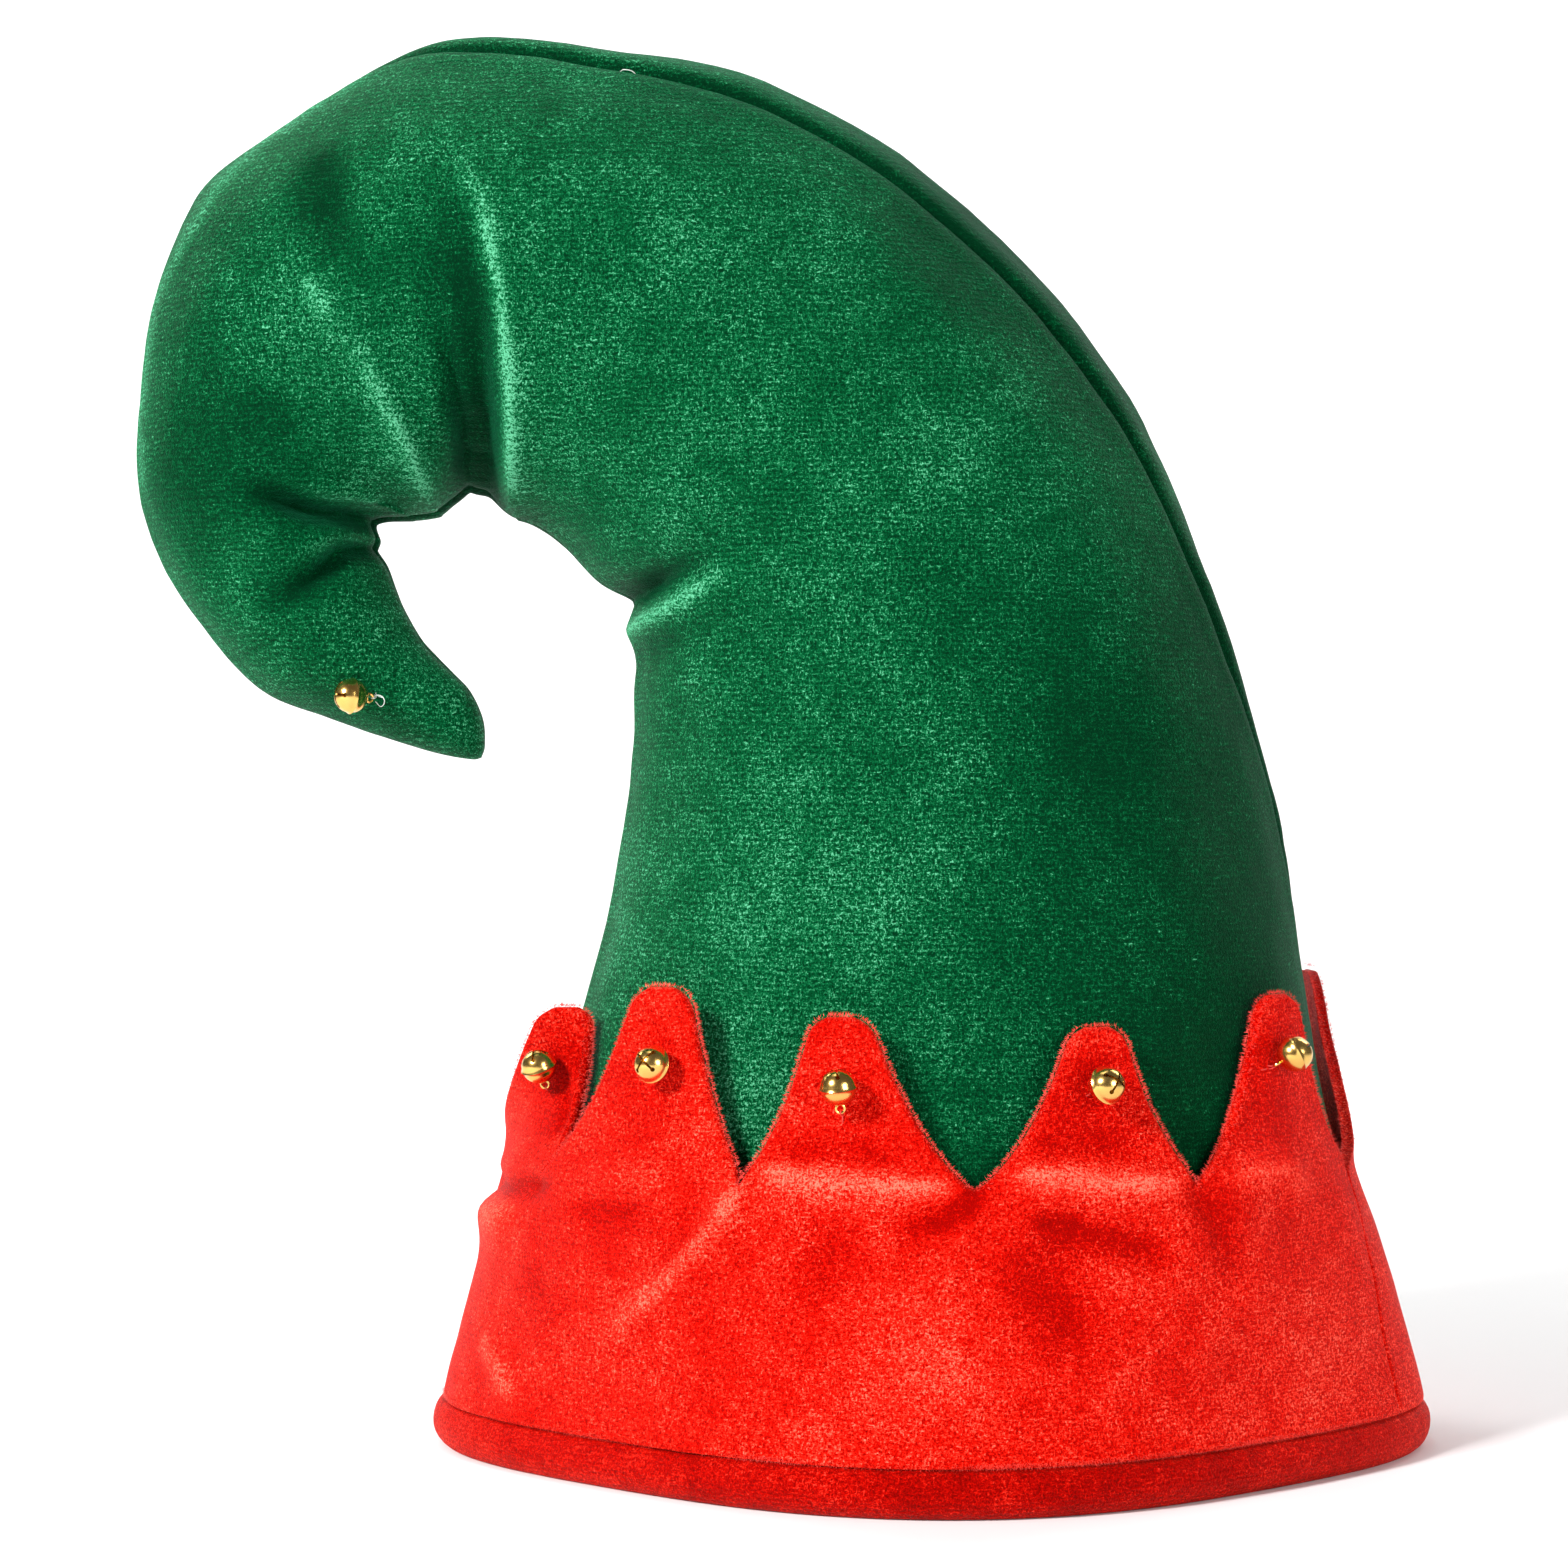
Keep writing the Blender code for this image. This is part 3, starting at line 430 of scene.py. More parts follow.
def velvet(name, tones, sheen, course, row_depth, lean_depth, patch_depth, painted_glint_depth):
    """Crushed velvet pile on a knitted ground. tones are the pile's colours from its dark roots to the
    painted glints of its tips, and the depths say how far lean, patches and flecks of painted glint move
    it on them. A mesh attribute of painted light and shade shifts the tone: darker as painted shade,
    lighter as painted highlight."""
    cloth = Finish(name)
    lean = cloth.noise(24, 2.0, 0.5) - 0.5
    patch = cloth.noise(120, 3.0, 0.6) - 0.5
    warp = cloth.noise(170, 1.0)
    height = cloth.node("ShaderNodeSeparateXYZ", {}, cloth.place(), out=2)
    row = (height * (math.tau / course) + warp * 9.0).math("SINE")
    flat_strokes = cloth.noise(1.0, 2.0, 0.65, cloth.place((1080, 1080, 2300)))
    tall_strokes = cloth.noise(1.0, 2.0, 0.65, cloth.place((2300, 2300, 1150), (0.2, 0.5, 0)))
    grain = cloth.noise(3600, 1.0, 0.5) - 0.5
    # Painted light and shade, read from the mesh: it lowers the tone where shade falls and raises it as a painted
    # highlight.
    nap = cloth.node("ShaderNodeAttribute", {"attribute_name": "nap"}, out=2)
    # The flecks are painted glints of the pile tips in the colour, stronger where lean and patches are high; in the
    # bump they are the pile's real texture.
    fleck_and_painted_glint = flat_strokes.math("MAXIMUM", tall_strokes) - 0.55
    lit = (lean + patch) * 0.8 + 1.0
    tone = lean * lean_depth + patch * patch_depth + fleck_and_painted_glint * painted_glint_depth * lit.math("MAXIMUM", 0.5)
    tone = tone + grain * 0.7 + row * row_depth + nap + 0.41
    colour = cloth.node("ShaderNodeValToRGB", {"stops": tones}, tone.clamp())
    rise = fleck_and_painted_glint * 1.2 + grain * 0.8 + row * 0.10 + patch * 0.4
    bump = cloth.node("ShaderNodeBump", {}, 0.8, 0.0007, None, rise)
    cloth.set(Base_Color=colour, Roughness=0.6, Normal=bump, Specular_IOR_Level=0.12)
    cloth.set(Specular_Tint=(*sheen, 1), Sheen_Weight=0.12, Sheen_Roughness=0.3, Sheen_Tint=(*sheen, 1))
    return cloth.material


# The green pile from its dark roots up to the painted glints of its tips; the low stops take the painted shade.
GREEN_TONES = (
    (0.00, (0.000, 0.018, 0.005)), (0.30, (0.000, 0.046, 0.012)), (0.52, (0.001, 0.092, 0.026)),
    (0.74, (0.016, 0.205, 0.078)), (1.00, (0.130, 0.520, 0.290)),
)
green_velvet = velvet("green velvet", GREEN_TONES, (0.08, 0.95, 0.45), 0.00131, 0.075, 0.42, 0.26, 2.8)
knit_backing = Finish("green knit backing")
backing_row = (knit_backing.node("ShaderNodeSeparateXYZ", {}, knit_backing.place(), out=2)
               * (math.tau / 0.0013)).math("SINE") * 0.5 + 0.5
backing_tone = knit_backing.mix(backing_row * 0.5 + knit_backing.noise(500) * 0.5,
                                (0.004, 0.05, 0.022), (0.012, 0.10, 0.05))
backing_bump = knit_backing.node("ShaderNodeBump", {}, 0.5, 0.0003, None, backing_row)
knit_backing.set(Base_Color=backing_tone, Roughness=0.9, Normal=backing_bump)


def crown_panel(name, is_front):
    built = bmesh.new()
    keep = built.verts.layers.float_vector.new("spot")
    # A per-corner layer of painted light and shade for the velvet's tone.
    tones = built.verts.layers.float.new("nap")
    bmesh.ops.create_grid(built, x_segments=CROWN_COLUMNS, y_segments=CROWN_ROWS, size=1)
    for corner in built.verts:
        corner[keep] = ((corner.co.x + 1) / 2, (corner.co.y + 1) / 2, 0)

    def places_for(corners, is_outer):
        column = np.array([v[keep][0] for v in corners])
        row = np.array([v[keep][1] for v in corners])
        share = column - 0.55 * np.sin(2 * math.pi * column) / (2 * math.pi)
        s = crown_rows(row)
        roll = np.maximum(along(CROWN_SECTIONS, s)[:, 5], 0)
        turn = roll + (180 - roll) * share if is_front else roll - (180 + roll) * share
        side = -1 if is_front else 1
        if not is_outer:
            s = s - 1.6 * (s / CROWN_LAST) ** 24
        places, sink, groove = crown_places(s, turn, 0.0 if is_outer else CROWN_WALL, is_front)
        at_seam = (column < 1e-4) | (column > 1 - 1e-4) | (row > 1 - 1e-4)
        places[:, 1] += side * SEAM_GAP / 2 * at_seam
        if is_outer:
            # Painted shading on the outer side: fold troughs and the seam grooves are painted darker as shade, ridges
            # lighter as painted highlights, and the shade table adds painted shade and highlight where the light falls.
            shade = fold_depth(CROWN_SHADES, places[:, 0], places[:, 2])
            for corner, painted_tone in zip(corners, np.clip(-sink * 0.03 - shade - groove * 0.5, -0.42, 0.55)):
                corner[tones] = float(painted_tone)
        return places

    wall(built, places_for)
    bmesh.ops.remove_doubles(built, verts=built.verts, dist=2e-6)
    bmesh.ops.dissolve_degenerate(built, edges=built.edges, dist=2e-6)
    bmesh.ops.recalc_face_normals(built, faces=built.faces)
    return finish_cloth(built, name, green_velvet, knit_backing.material)


crown_front = crown_panel("crown_front_velvet", True)
crown_back = crown_panel("crown_back_velvet", False)
for piece, node in ((crown_front, "crown_front"), (crown_back, "crown_back")):
    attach(piece, "root")
    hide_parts(node)

# Cuff
# Two strips of bright red velvet, front and back, each cut in five blunt points, sewn double round
# the points and turned, then joined at the sides and turned up outside the crown. The turned edges
# are plump, and folds cross the foot of each point and run down from the notches between them.
CuffRing = namedtuple("CuffRing", "z centre_x half_width half_depth pinch")
CUFF_RINGS = (
    CuffRing(10.5, 35.3, 117.4, 83.9, 0.09),
    CuffRing(23.3, 35.4, 114.1, 81.6, 0.085),
    CuffRing(32.9, 35.4, 111.5, 79.8, 0.07),
    CuffRing(42.5, 35.3, 109.0, 77.3, 0.05),
    CuffRing(52.1, 34.8, 106.6, 75.9, 0.03),
    CuffRing(59.3, 34.4, 104.4, 74.7, 0.01),
    CuffRing(67.5, 34.2, 101.7, 72.8, 0),
    CuffRing(76.0, 34.1, 99.3, 70.6, 0),
    CuffRing(85.7, 34.0, 97.4, 68.9, 0),
    CuffRing(95.3, 33.8, 96.4, 67.8, 0),
    CuffRing(112.0, 33.6, 95.3, 67.0, 0),
)
# The points are counted from the left behind round the front. Angles are round the head, 0 at the
# front and 90 at the right. turn twists a point and lean tips it out; tuck is not used.
CuffPoint = namedtuple("CuffPoint", "notch_deg tip_deg tip_z width turn_deg lean tuck")
CUFF_POINTS = (
    CuffPoint(-102.5, -66.5, 104.4, 0.80, 48, -3.0, 1.6),
    CuffPoint(-63.0, -39.8, 110.8, 0.98, 4, 0.4, 1.3),
    CuffPoint(-25.9, -12.9, 105.2, 1.06, 0, 0.8, 1.6),
    CuffPoint(4.0, 21.6, 102.8, 1.00, 0, 0.8, 1.6),
    CuffPoint(34.2, 56.2, 108.2, 1.00, -6, 0.2, 1.1),
    CuffPoint(71.4, 115.0, 110.2, 1.04, -28, 16.0, 1.2),
    CuffPoint(115.3, 133.0, 106.0, 1.02, 0, 0.6, 1.4),
    CuffPoint(152.5, 170.0, 103.6, 1.00, 3, 0.8, 1.5),
    CuffPoint(185.3, 200.5, 106.4, 1.04, -4, 0.5, 1.3),
    CuffPoint(217.9, 232.0, 105.4, 0.98, 0, 0.6, 1.2),
)
CUFF_WALL = 3.0
POINTS_IN_STRIP = 5
NOTCH_Z = 67.5
CUFF_FOOT_OUTER, CUFF_FOOT_INNER = 10.4, 12.0
CUFF_COLUMNS, CUFF_BAND_ROWS, CUFF_POINT_ROWS = 22, 20, 20
TIP_ROUNDING, TIP_BLUNTNESS = 0.11, 0.5
ARC_PER_DEG = 1.6
EDGE_PLUMP = 0.9
# Folds of the cuff in its unrolled strip: 1.6 mm for each degree round the head, and the height.
CUFF_FOLDS = (
    Fold(((-23.7, 72.5), (-17.7, 71.2), (-10.1, 71.0), (-1.5, 69.8), (2.4, 68.8)), -2.0, 2.6, 4.0, 1.7, 0.1, 0.2),
    Fold(((-21.0, 77.5), (-12.0, 77.0), (-3.0, 76.0)), 1.6, 3.6, 3.6, 1.8, 0.3, 0.3),
    Fold(((8.0, 72.6), (14.8, 71.4), (22.7, 70.2), (32.0, 68.4)), -2.0, 2.6, 4.0, 1.7, 0.1, 0.2),
    Fold(((11.0, 78.0), (20.0, 77.5), (28.0, 76.0)), 1.5, 3.6, 3.6, 1.8, 0.3, 0.3),
    Fold(((10.0, 63.0), (16.7, 60.2), (23.2, 56.8), (31.0, 52.6)), 2.7, 3.6, 4.4, 1.6, 0.2, 0.3),
    Fold(((-26.2, 66.4), (-30.4, 57.0), (-36.6, 46.3), (-43.8, 36.4), (-50.0, 26.0)), -2.4, 3.2, 3.8, 1.6, 0.0, 0.6),
    Fold(((-29.0, 66.0), (-36.0, 52.0), (-44.0, 42.0)), 1.6, 3.0, 3.0, 1.8, 0.2, 0.6),
    Fold(((4.2, 66.5), (2.4, 63.6), (-0.8, 61.0), (-6, 60)), 2.2, 1.4, 2.0, 1.3, 0.0, 0.5),
    Fold(((4.0, 63.0), (0.0, 58.4), (-6.0, 57.0)), -1.4, 2.4, 2.4, 1.6, 0.0, 0.5),
    Fold(((9.0, 62.0), (12.2, 49.8), (14.6, 39.1), (17.6, 27.0)), 1.8, 7.0, 6.0, 1.9, 0.3, 0.5),
    Fold(((-74.9, 29.4), (-67.4, 23.0), (-61.5, 15.0)), -1.4, 2.4, 3.0, 1.7, 0.3, 0.3),
    Fold(((-94.0, 61.0), (-81.2, 62.2), (-64.9, 64.0), (-57.5, 67.0)), 4.6, 1.6, 2.4, 1.4, 0.05, 0.2),
    Fold(((-92.0, 56.0), (-74.0, 57.0), (-65.0, 59.0)), -2.6, 3.4, 5.6, 1.8, 0.1, 0.3),
    Fold(((-62.5, 73.0), (-63.0, 80.0), (-67.0, 92.0)), 1.6, 1.6, 1.6, 1.5, 0.2, 0.5),
    Fold(((-52.0, 71.5), (-44.0, 70.5), (-34.0, 70.0)), -1.6, 3.0, 4.0, 1.8, 0.3, 0.3),
    Fold(((-55.0, 62.0), (-48.0, 60.0), (-36.0, 63.0)), 1.2, 3.0, 4.0, 1.8, 0.3, 0.3),
    Fold(((38.0, 70.5), (48.0, 70.0), (60.0, 68.0)), -1.5, 3.0, 4.0, 1.8, 0.3, 0.3),
    Fold(((34.4, 66.0), (37.0, 58.0), (38.0, 46.0)), 1.2, 3.0, 3.0, 1.7, 0.0, 0.6),
    Fold(((42.0, 62.0), (54.0, 56.0), (66.0, 54.0)), 1.1, 4.0, 5.0, 1.9, 0.3, 0.4),
    Fold(((-12.0, 64.0), (-14.0, 52.0), (-20.0, 42.0)), 1.1, 5.0, 5.0, 1.9, 0.2, 0.5),
    Fold(((-19.2, 99.0), (-13.0, 97.6), (-7.2, 98.2)), 0.9, 1.6, 1.8, 1.6, 0.2, 0.2),
    Fold(((-46.5, 104.0), (-40.0, 102.8), (-34.0, 104.2)), 1.1, 1.6, 1.8, 1.6, 0.2, 0.2),
    Fold(((74.0, 70.5), (88.0, 70.0), (108.0, 69.5)), -0.3, 3.0, 4.0, 1.8, 0.2, 0.3),
    Fold(((119.0, 71.5), (132.0, 70.5), (148.0, 69.0)), -1.9, 3.0, 4.0, 1.8, 0.2, 0.3),
    Fold(((120.0, 61.0), (132.0, 59.0), (146.0, 61.5)), 1.8, 3.4, 4.2, 1.8, 0.3, 0.3),
    Fold(((156.0, 71.8), (168.0, 71.0), (181.0, 69.5)), -2.0, 3.0, 4.0, 1.8, 0.2, 0.3),
    Fold(((153.0, 66.0), (148.0, 54.0), (138.0, 38.0)), -2.2, 3.4, 3.6, 1.7, 0.0, 0.6),
    Fold(((189.0, 71.5), (200.0, 70.5), (213.0, 69.0)), -1.8, 3.0, 4.0, 1.8, 0.2, 0.3),
    Fold(((190.0, 62.0), (202.0, 58.0), (214.0, 56.0)), 1.9, 3.6, 4.4, 1.8, 0.3, 0.3),
    Fold(((186.0, 66.0), (190.0, 54.0), (196.0, 40.0)), -1.6, 3.2, 3.4, 1.7, 0.0, 0.6),
    Fold(((222.0, 71.0), (234.0, 70.0), (250.0, 68.5)), -1.6, 3.0, 4.0, 1.8, 0.2, 0.3),
    Fold(((218.5, 66.0), (211.0, 50.0), (203.0, 36.0)), -1.8, 3.4, 3.6, 1.7, 0.0, 0.6),
    Fold(((116.0, 66.0), (123.0, 52.0), (128.0, 36.0)), -1.6, 3.2, 3.4, 1.7, 0.0, 0.6),
)
# Painted shading of the cuff, given as for the crown: darker (positive) as painted shade in troughs, under the points'
# bends and on the far point at the right, lighter (negative) as painted highlights along ridges and on broad lit
# patches.
CUFF_SHADES = (
    Fold(((-24.5, 72.8), (-17.7, 71.6), (-10.1, 71.2), (-1.5, 70.0), (3.0, 69.0)), -0.42, 1.4, 2.6, 1.6, 0.1, 0.1),
    Fold(((-24.0, 77.0), (-14.0, 76.6), (-2.0, 75.0)), 0.20, 2.4, 2.4, 1.8, 0.2, 0.2),
    Fold(((8.0, 73.0), (14.8, 71.8), (22.7, 70.4), (33.0, 68.6)), -0.42, 1.4, 2.6, 1.6, 0.1, 0.1),
    Fold(((9.0, 79.0), (19.0, 78.0), (29.0, 76.0)), 0.22, 3.6, 3.0, 1.8, 0.2, 0.2),
    Fold(((18.0, 98.0), (19.0, 90.0), (18.0, 80.0)), 0.25, 12.0, 12.0, 2.0, 0.1, 0.1),
    Fold(((9.0, 63.4), (16.7, 60.4), (23.2, 57.0), (31.0, 52.6)), 0.38, 2.0, 3.6, 1.7, 0.1, 0.3),
    Fold(((-25.8, 66.8), (-30.0, 57.4), (-36.2, 46.6), (-43.4, 36.6), (-50.0, 26.0)), -0.36, 1.6, 3.0, 1.6, 0.0, 0.4),
    Fold(((-28.0, 64.0), (-34.5, 52.0), (-42.0, 41.0)), 0.26, 2.0, 4.0, 1.7, 0.1, 0.5),
    Fold(((4.0, 66.5), (2.2, 63.6), (-1.0, 61.2), (-7, 60)), 0.56, 1.5, 2.2, 1.5, 0.0, 0.4),
    Fold(((8.0, 61.0), (11.0, 49.8), (13.6, 39.1), (16.6, 27.0)), 0.19, 7.0, 9.0, 2.0, 0.2, 0.4),
    Fold(((-75.5, 30.0), (-67.6, 23.4), (-61.0, 15.0)), -0.34, 1.6, 2.2, 1.7, 0.2, 0.2),
    Fold(((-90.0, 61.0), (-81.2, 62.2), (-64.9, 64.0), (-57.5, 67.0)), 0.40, 1.2, 1.8, 1.6, 0.1, 0.1),
    Fold(((-88.0, 56.5), (-74.0, 57.5), (-65.0, 59.5)), -0.22, 2.4, 3.6, 1.8, 0.2, 0.2),
    Fold(((-56.0, 62.0), (-48.0, 60.0), (-36.0, 63.0)), 0.20, 3.0, 4.0, 1.8, 0.2, 0.3),
    Fold(((-12.0, 64.0), (-14.0, 52.0), (-20.0, 42.0)), 0.16, 6.0, 6.0, 2.0, 0.1, 0.4),
    Fold(((38.0, 70.5), (48.0, 70.2), (60.0, 68.0)), -0.24, 1.6, 2.8, 1.7, 0.2, 0.2),
    Fold(((36.0, 63.0), (38.0, 54.0), (40.0, 44.0)), 0.22, 4.0, 5.0, 1.8, 0.0, 0.4),
    Fold(((-68.0, 48.0), (-58.0, 40.0), (-52.0, 30.0)), 0.14, 7.0, 7.0, 2.0, 0.3, 0.3),
    Fold(((46.0, 66.0), (54.0, 42.0), (62.0, 14.0)), -0.08, 20.0, 26.0, 2.0, 0.1, 0.1),
    Fold(((-6.0, 54.0), (-2.0, 36.0), (0.0, 18.0)), -0.10, 14.0, 14.0, 2.0, 0.2, 0.2),
    Fold(((-44.0, 98.0), (-41.0, 88.0), (-37.0, 78.0)), 0.12, 10.0, 10.0, 2.0, 0.1, 0.1),
    Fold(((-66.0, 98.0), (-66.0, 86.0), (-64.0, 74.0)), 0.20, 8.0, 8.0, 2.0, 0.1, 0.1),
    Fold(((50.0, 100.0), (52.0, 88.0), (50.0, 76.0)), 0.16, 8.0, 8.0, 2.0, 0.1, 0.1),
    Fold(((112.0, 108.0), (106.0, 94.0), (98.0, 80.0)), 0.50, 22.0, 22.0, 2.4, 0.0, 0.2),
    Fold(((119.0, 71.5), (132.0, 70.5), (148.0, 69.0)), -0.34, 1.6, 2.8, 1.7, 0.1, 0.2),
    Fold(((156.0, 71.8), (168.0, 71.0), (181.0, 69.5)), -0.34, 1.6, 2.8, 1.7, 0.1, 0.2),
    Fold(((189.0, 71.5), (200.0, 70.5), (213.0, 69.0)), -0.34, 1.6, 2.8, 1.7, 0.1, 0.2),
    Fold(((152.0, 66.0), (147.0, 54.0), (138.0, 38.0)), -0.30, 2.0, 3.0, 1.7, 0.0, 0.5),
    Fold(((190.0, 62.0), (202.0, 58.0), (214.0, 56.0)), 0.30, 2.6, 3.8, 1.8, 0.2, 0.3),
)
CUFF_SWELLS = ((30.0, 0.7), (11.0, 0.4), (4.5, 0.12))


def notch_deg(k):
    """The angle of notch k, going on past a full turn."""
    count = len(CUFF_POINTS)
    return CUFF_POINTS[k % count].notch_deg + 360.0 * (k // count)


def cuff_relief(round_deg, z, folds=CUFF_FOLDS):
    """How far the folds push the cuff in, at angles and heights of its strip; given the shade table, how much painted
    shade it gets.
    """
    total = np.zeros_like(round_deg)
    stretched = [fold._replace(path=tuple((d * ARC_PER_DEG, h) for d, h in fold.path)) for fold in folds]
    for wrap in (-360.0, 0.0, 360.0):
        total += fold_depth(stretched, (round_deg + wrap) * ARC_PER_DEG, z)
    return total


def cuff_places(round_deg, z, outwards):
    """Places of the cuff at angles and heights, outwards of its ring by a distance."""
    table = np.array(CUFF_RINGS)
    centre, half_width, half_depth, pinch = (np.interp(z, table[:, 0], table[:, i]) for i in (1, 2, 3, 4))
    turn = np.radians(round_deg)
    pinched = 1 - pinch * np.sin(2 * turn) ** 2
    place = np.stack([
        centre + half_width * np.sin(turn) * pinched, -half_depth * np.cos(turn) * pinched, z,
    ], axis=1)
    normal = np.stack([np.sin(turn) / half_width, -np.cos(turn) / half_depth, np.zeros_like(z)], axis=1)
    normal /= np.linalg.norm(normal, axis=1)[:, None]
    return place + normal * np.asarray(outwards)[:, None]


def on_cuff_point(k, across, rise):
    """Angles, heights and leans on cuff point k, across from -1 to 1 and rise from 0 to 1."""
    point = CUFF_POINTS[k]
    left, right = notch_deg(k), notch_deg(k + 1)
    tip = point.tip_deg + (360.0 if point.tip_deg < left else 0.0)
    middle = (left + right) / 2 * (1 - rise ** 0.5) + tip * rise ** 0.5
    down = 1 - rise
    width = 0.22 + 0.5 * down + 0.28 * down ** 3
    cap = np.sqrt(np.clip(1 - np.clip(1 - down / TIP_ROUNDING, 0, 1) ** 2, 0, 1))
    width = width * (TIP_BLUNTNESS + (1 - TIP_BLUNTNESS) * cap) * (1 + (point.width - 1) * rise)
    half_deg = (right - left) / 2 * width
    turn = np.radians(point.turn_deg * rise ** 1.5)
    lean = point.lean * rise - across * half_deg * ARC_PER_DEG * np.sin(turn)
    return middle + across * half_deg * np.cos(turn), NOTCH_Z + (point.tip_z - NOTCH_Z) * rise, lean


# The red pile from its dark roots up to the painted glints of its tips; the low stops take the painted shade.
RED_TONES = (
    (0.00, (0.330, 0.000, 0.000)), (0.30, (0.580, 0.001, 0.000)), (0.52, (0.830, 0.009, 0.003)),
    (0.76, (1.000, 0.060, 0.032)), (1.00, (1.000, 0.190, 0.125)),
)
red_velvet = velvet("red velvet", RED_TONES, (1.0, 0.20, 0.10), 0.00115, 0.03, 0.35, 0.4, 2.6)
CUFF_ROWS = CUFF_BAND_ROWS + CUFF_POINT_ROWS


def cuff_strip(name, first):
    built = bmesh.new()
    keep = built.verts.layers.float_vector.new("spot")
    which = built.verts.layers.int.new("point")
    # A per-corner layer of painted light and shade for the velvet's tone.
    tones = built.verts.layers.float.new("nap")
    for k in range(first, first + POINTS_IN_STRIP):
        grid = bmesh.ops.create_grid(built, x_segments=CUFF_COLUMNS, y_segments=CUFF_ROWS, size=1)
        for corner in grid["verts"]:
            corner[keep] = ((corner.co.x + 1) / 2, (corner.co.y + 1) / 2, 0)
            corner[which] = k
            column, row = corner[keep].x, corner[keep].y
            band = row * CUFF_ROWS <= CUFF_BAND_ROWS + 0.01
            corner.co = ((k + column) if band else (k + 0.5 + (column - 0.5) * 0.9), row * 3, 0)
    bmesh.ops.remove_doubles(built, verts=built.verts, dist=1e-4)

    def places_for(corners, is_outer):
        k = np.array([v[which] for v in corners])
        column = np.array([v[keep][0] for v in corners])
        row = np.array([v[keep][1] for v in corners]) * CUFF_ROWS
        share = column - 0.5 * np.sin(2 * math.pi * column) / (2 * math.pi)
        foot = CUFF_FOOT_OUTER if is_outer else CUFF_FOOT_INNER
        left = np.array([notch_deg(i) for i in k])
        right = np.array([notch_deg(i + 1) for i in k])
        round_deg = left + (right - left) * share
        z = foot + (NOTCH_Z - foot) * np.clip(row / CUFF_BAND_ROWS, 0, 1)
        lean = np.zeros(len(corners))
        above = row > CUFF_BAND_ROWS + 0.01
        rise = np.clip((row - CUFF_BAND_ROWS) / CUFF_POINT_ROWS, 0, 1)
        rise = rise + 0.35 * np.sin(math.pi * rise) / math.pi
        for i in range(first, first + POINTS_IN_STRIP):
            chosen = above & (k == i)
            spots = on_cuff_point(i, 2 * share[chosen] - 1, rise[chosen])
            round_deg[chosen], z[chosen], lean[chosen] = spots
        ends = (round_deg <= notch_deg(first) + 1e-6) * 1.0 - (round_deg >= notch_deg(first + 5) - 1e-6)
        round_deg = round_deg + ends * 0.03
        relief = cuff_relief(round_deg, z)
        places = cuff_places(round_deg, z, lean)
        relief = relief + unevenness(places, CUFF_SWELLS, 3)
        # Painted shading on the outer side: fold troughs are painted darker as shade and ridges lighter as painted
        # highlights, with the painted shade and highlight of the shade table.
        if is_outer:
            shade = cuff_relief(round_deg, z, CUFF_SHADES)
            for corner, painted_tone in zip(corners, np.clip(-relief * 0.05 - shade, -0.42, 0.5)):
                corner[tones] = float(painted_tone)
        return cuff_places(round_deg, z, lean - relief - (0.0 if is_outer else CUFF_WALL))

    outer = wall(built, places_for)
    rim = [e for e in built.edges if (e.verts[0] in outer) != (e.verts[1] in outer)]
    bmesh.ops.recalc_face_normals(built, faces=built.faces)
    middles = bmesh.ops.subdivide_edges(built, edges=rim, cuts=1, use_grid_fill=False)["geom_inner"]
    middles = [g for g in middles if isinstance(g, bmesh.types.BMVert)]
    built.normal_update()
    for middle in middles:
        if middle.co.z > (NOTCH_Z - 8) * MM:
            side_faces = [f.normal for f in middle.link_faces]
            out = sum(side_faces, Vector()).normalized()
            middle.co += out * EDGE_PLUMP * MM
    sharp = built.edges.layers.float.new("crease_edge")
    for edge in built.edges:
        low, high = sorted(v.co.z for v in edge.verts)
        at_rim = any(v not in outer for f in edge.link_faces for v in f.verts)
        if at_rim and edge.verts[0] in outer and edge.verts[1] in outer:
            edge[sharp] = float(high < (NOTCH_Z + 1) * MM and high - low > 0.8 * edge.calc_length())
    made = finish_cloth(built, name, red_velvet, red_velvet)
    rounder = made.modifiers.new("rounder", "SUBSURF")
    rounder.levels = rounder.render_levels = 1
    return made


cuff_front = cuff_strip("cuff_front_velvet", 0)
cuff_back = cuff_strip("cuff_back_velvet", POINTS_IN_STRIP)
for piece, node in ((cuff_front, "cuff_front"), (cuff_back, "cuff_back")):
    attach(piece, "root")
    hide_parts(node)

# Hem
# A strip of the same red velvet rolled round the raw edges of crown and cuff and sewn down. It is
# smooth and firm, puckers a little where it is sewn, and rests on the table.
# The hem's red is the cuff's velvet painted darker, as painted shade on the roll that faces down away from the light.
HEM_SHADED_TONES = (
    (0.00, (0.190, 0.000, 0.000)), (0.30, (0.380, 0.000, 0.000)), (0.52, (0.620, 0.004, 0.001)),
    (0.76, (0.900, 0.036, 0.018)), (1.00, (1.000, 0.150, 0.100)),
)
shaded_hem_red_velvet = velvet("red velvet of the hem", HEM_SHADED_TONES, (1.0, 0.20, 0.10), 0.00115, 0.03, 0.4, 0.45, 1.9)
HEM_CENTRE_X, HEM_HALF_WIDTH, HEM_HALF_DEPTH, HEM_PINCH = 35.3, 119.3, 85.8, 0.09
HEM_WALL, HEM_ACROSS, HEM_UP, HEM_CENTRE_Z = 1.9, 4.9, 5.9, 5.5
HEM_ROLL_FROM, HEM_ROLL_TO = 145, 450
HEM_COLUMNS, HEM_ROWS = 300, 24
PUCKER_SPACINGS = ((23.0, 0.22), (9.0, 0.16), (4.0, 0.06))


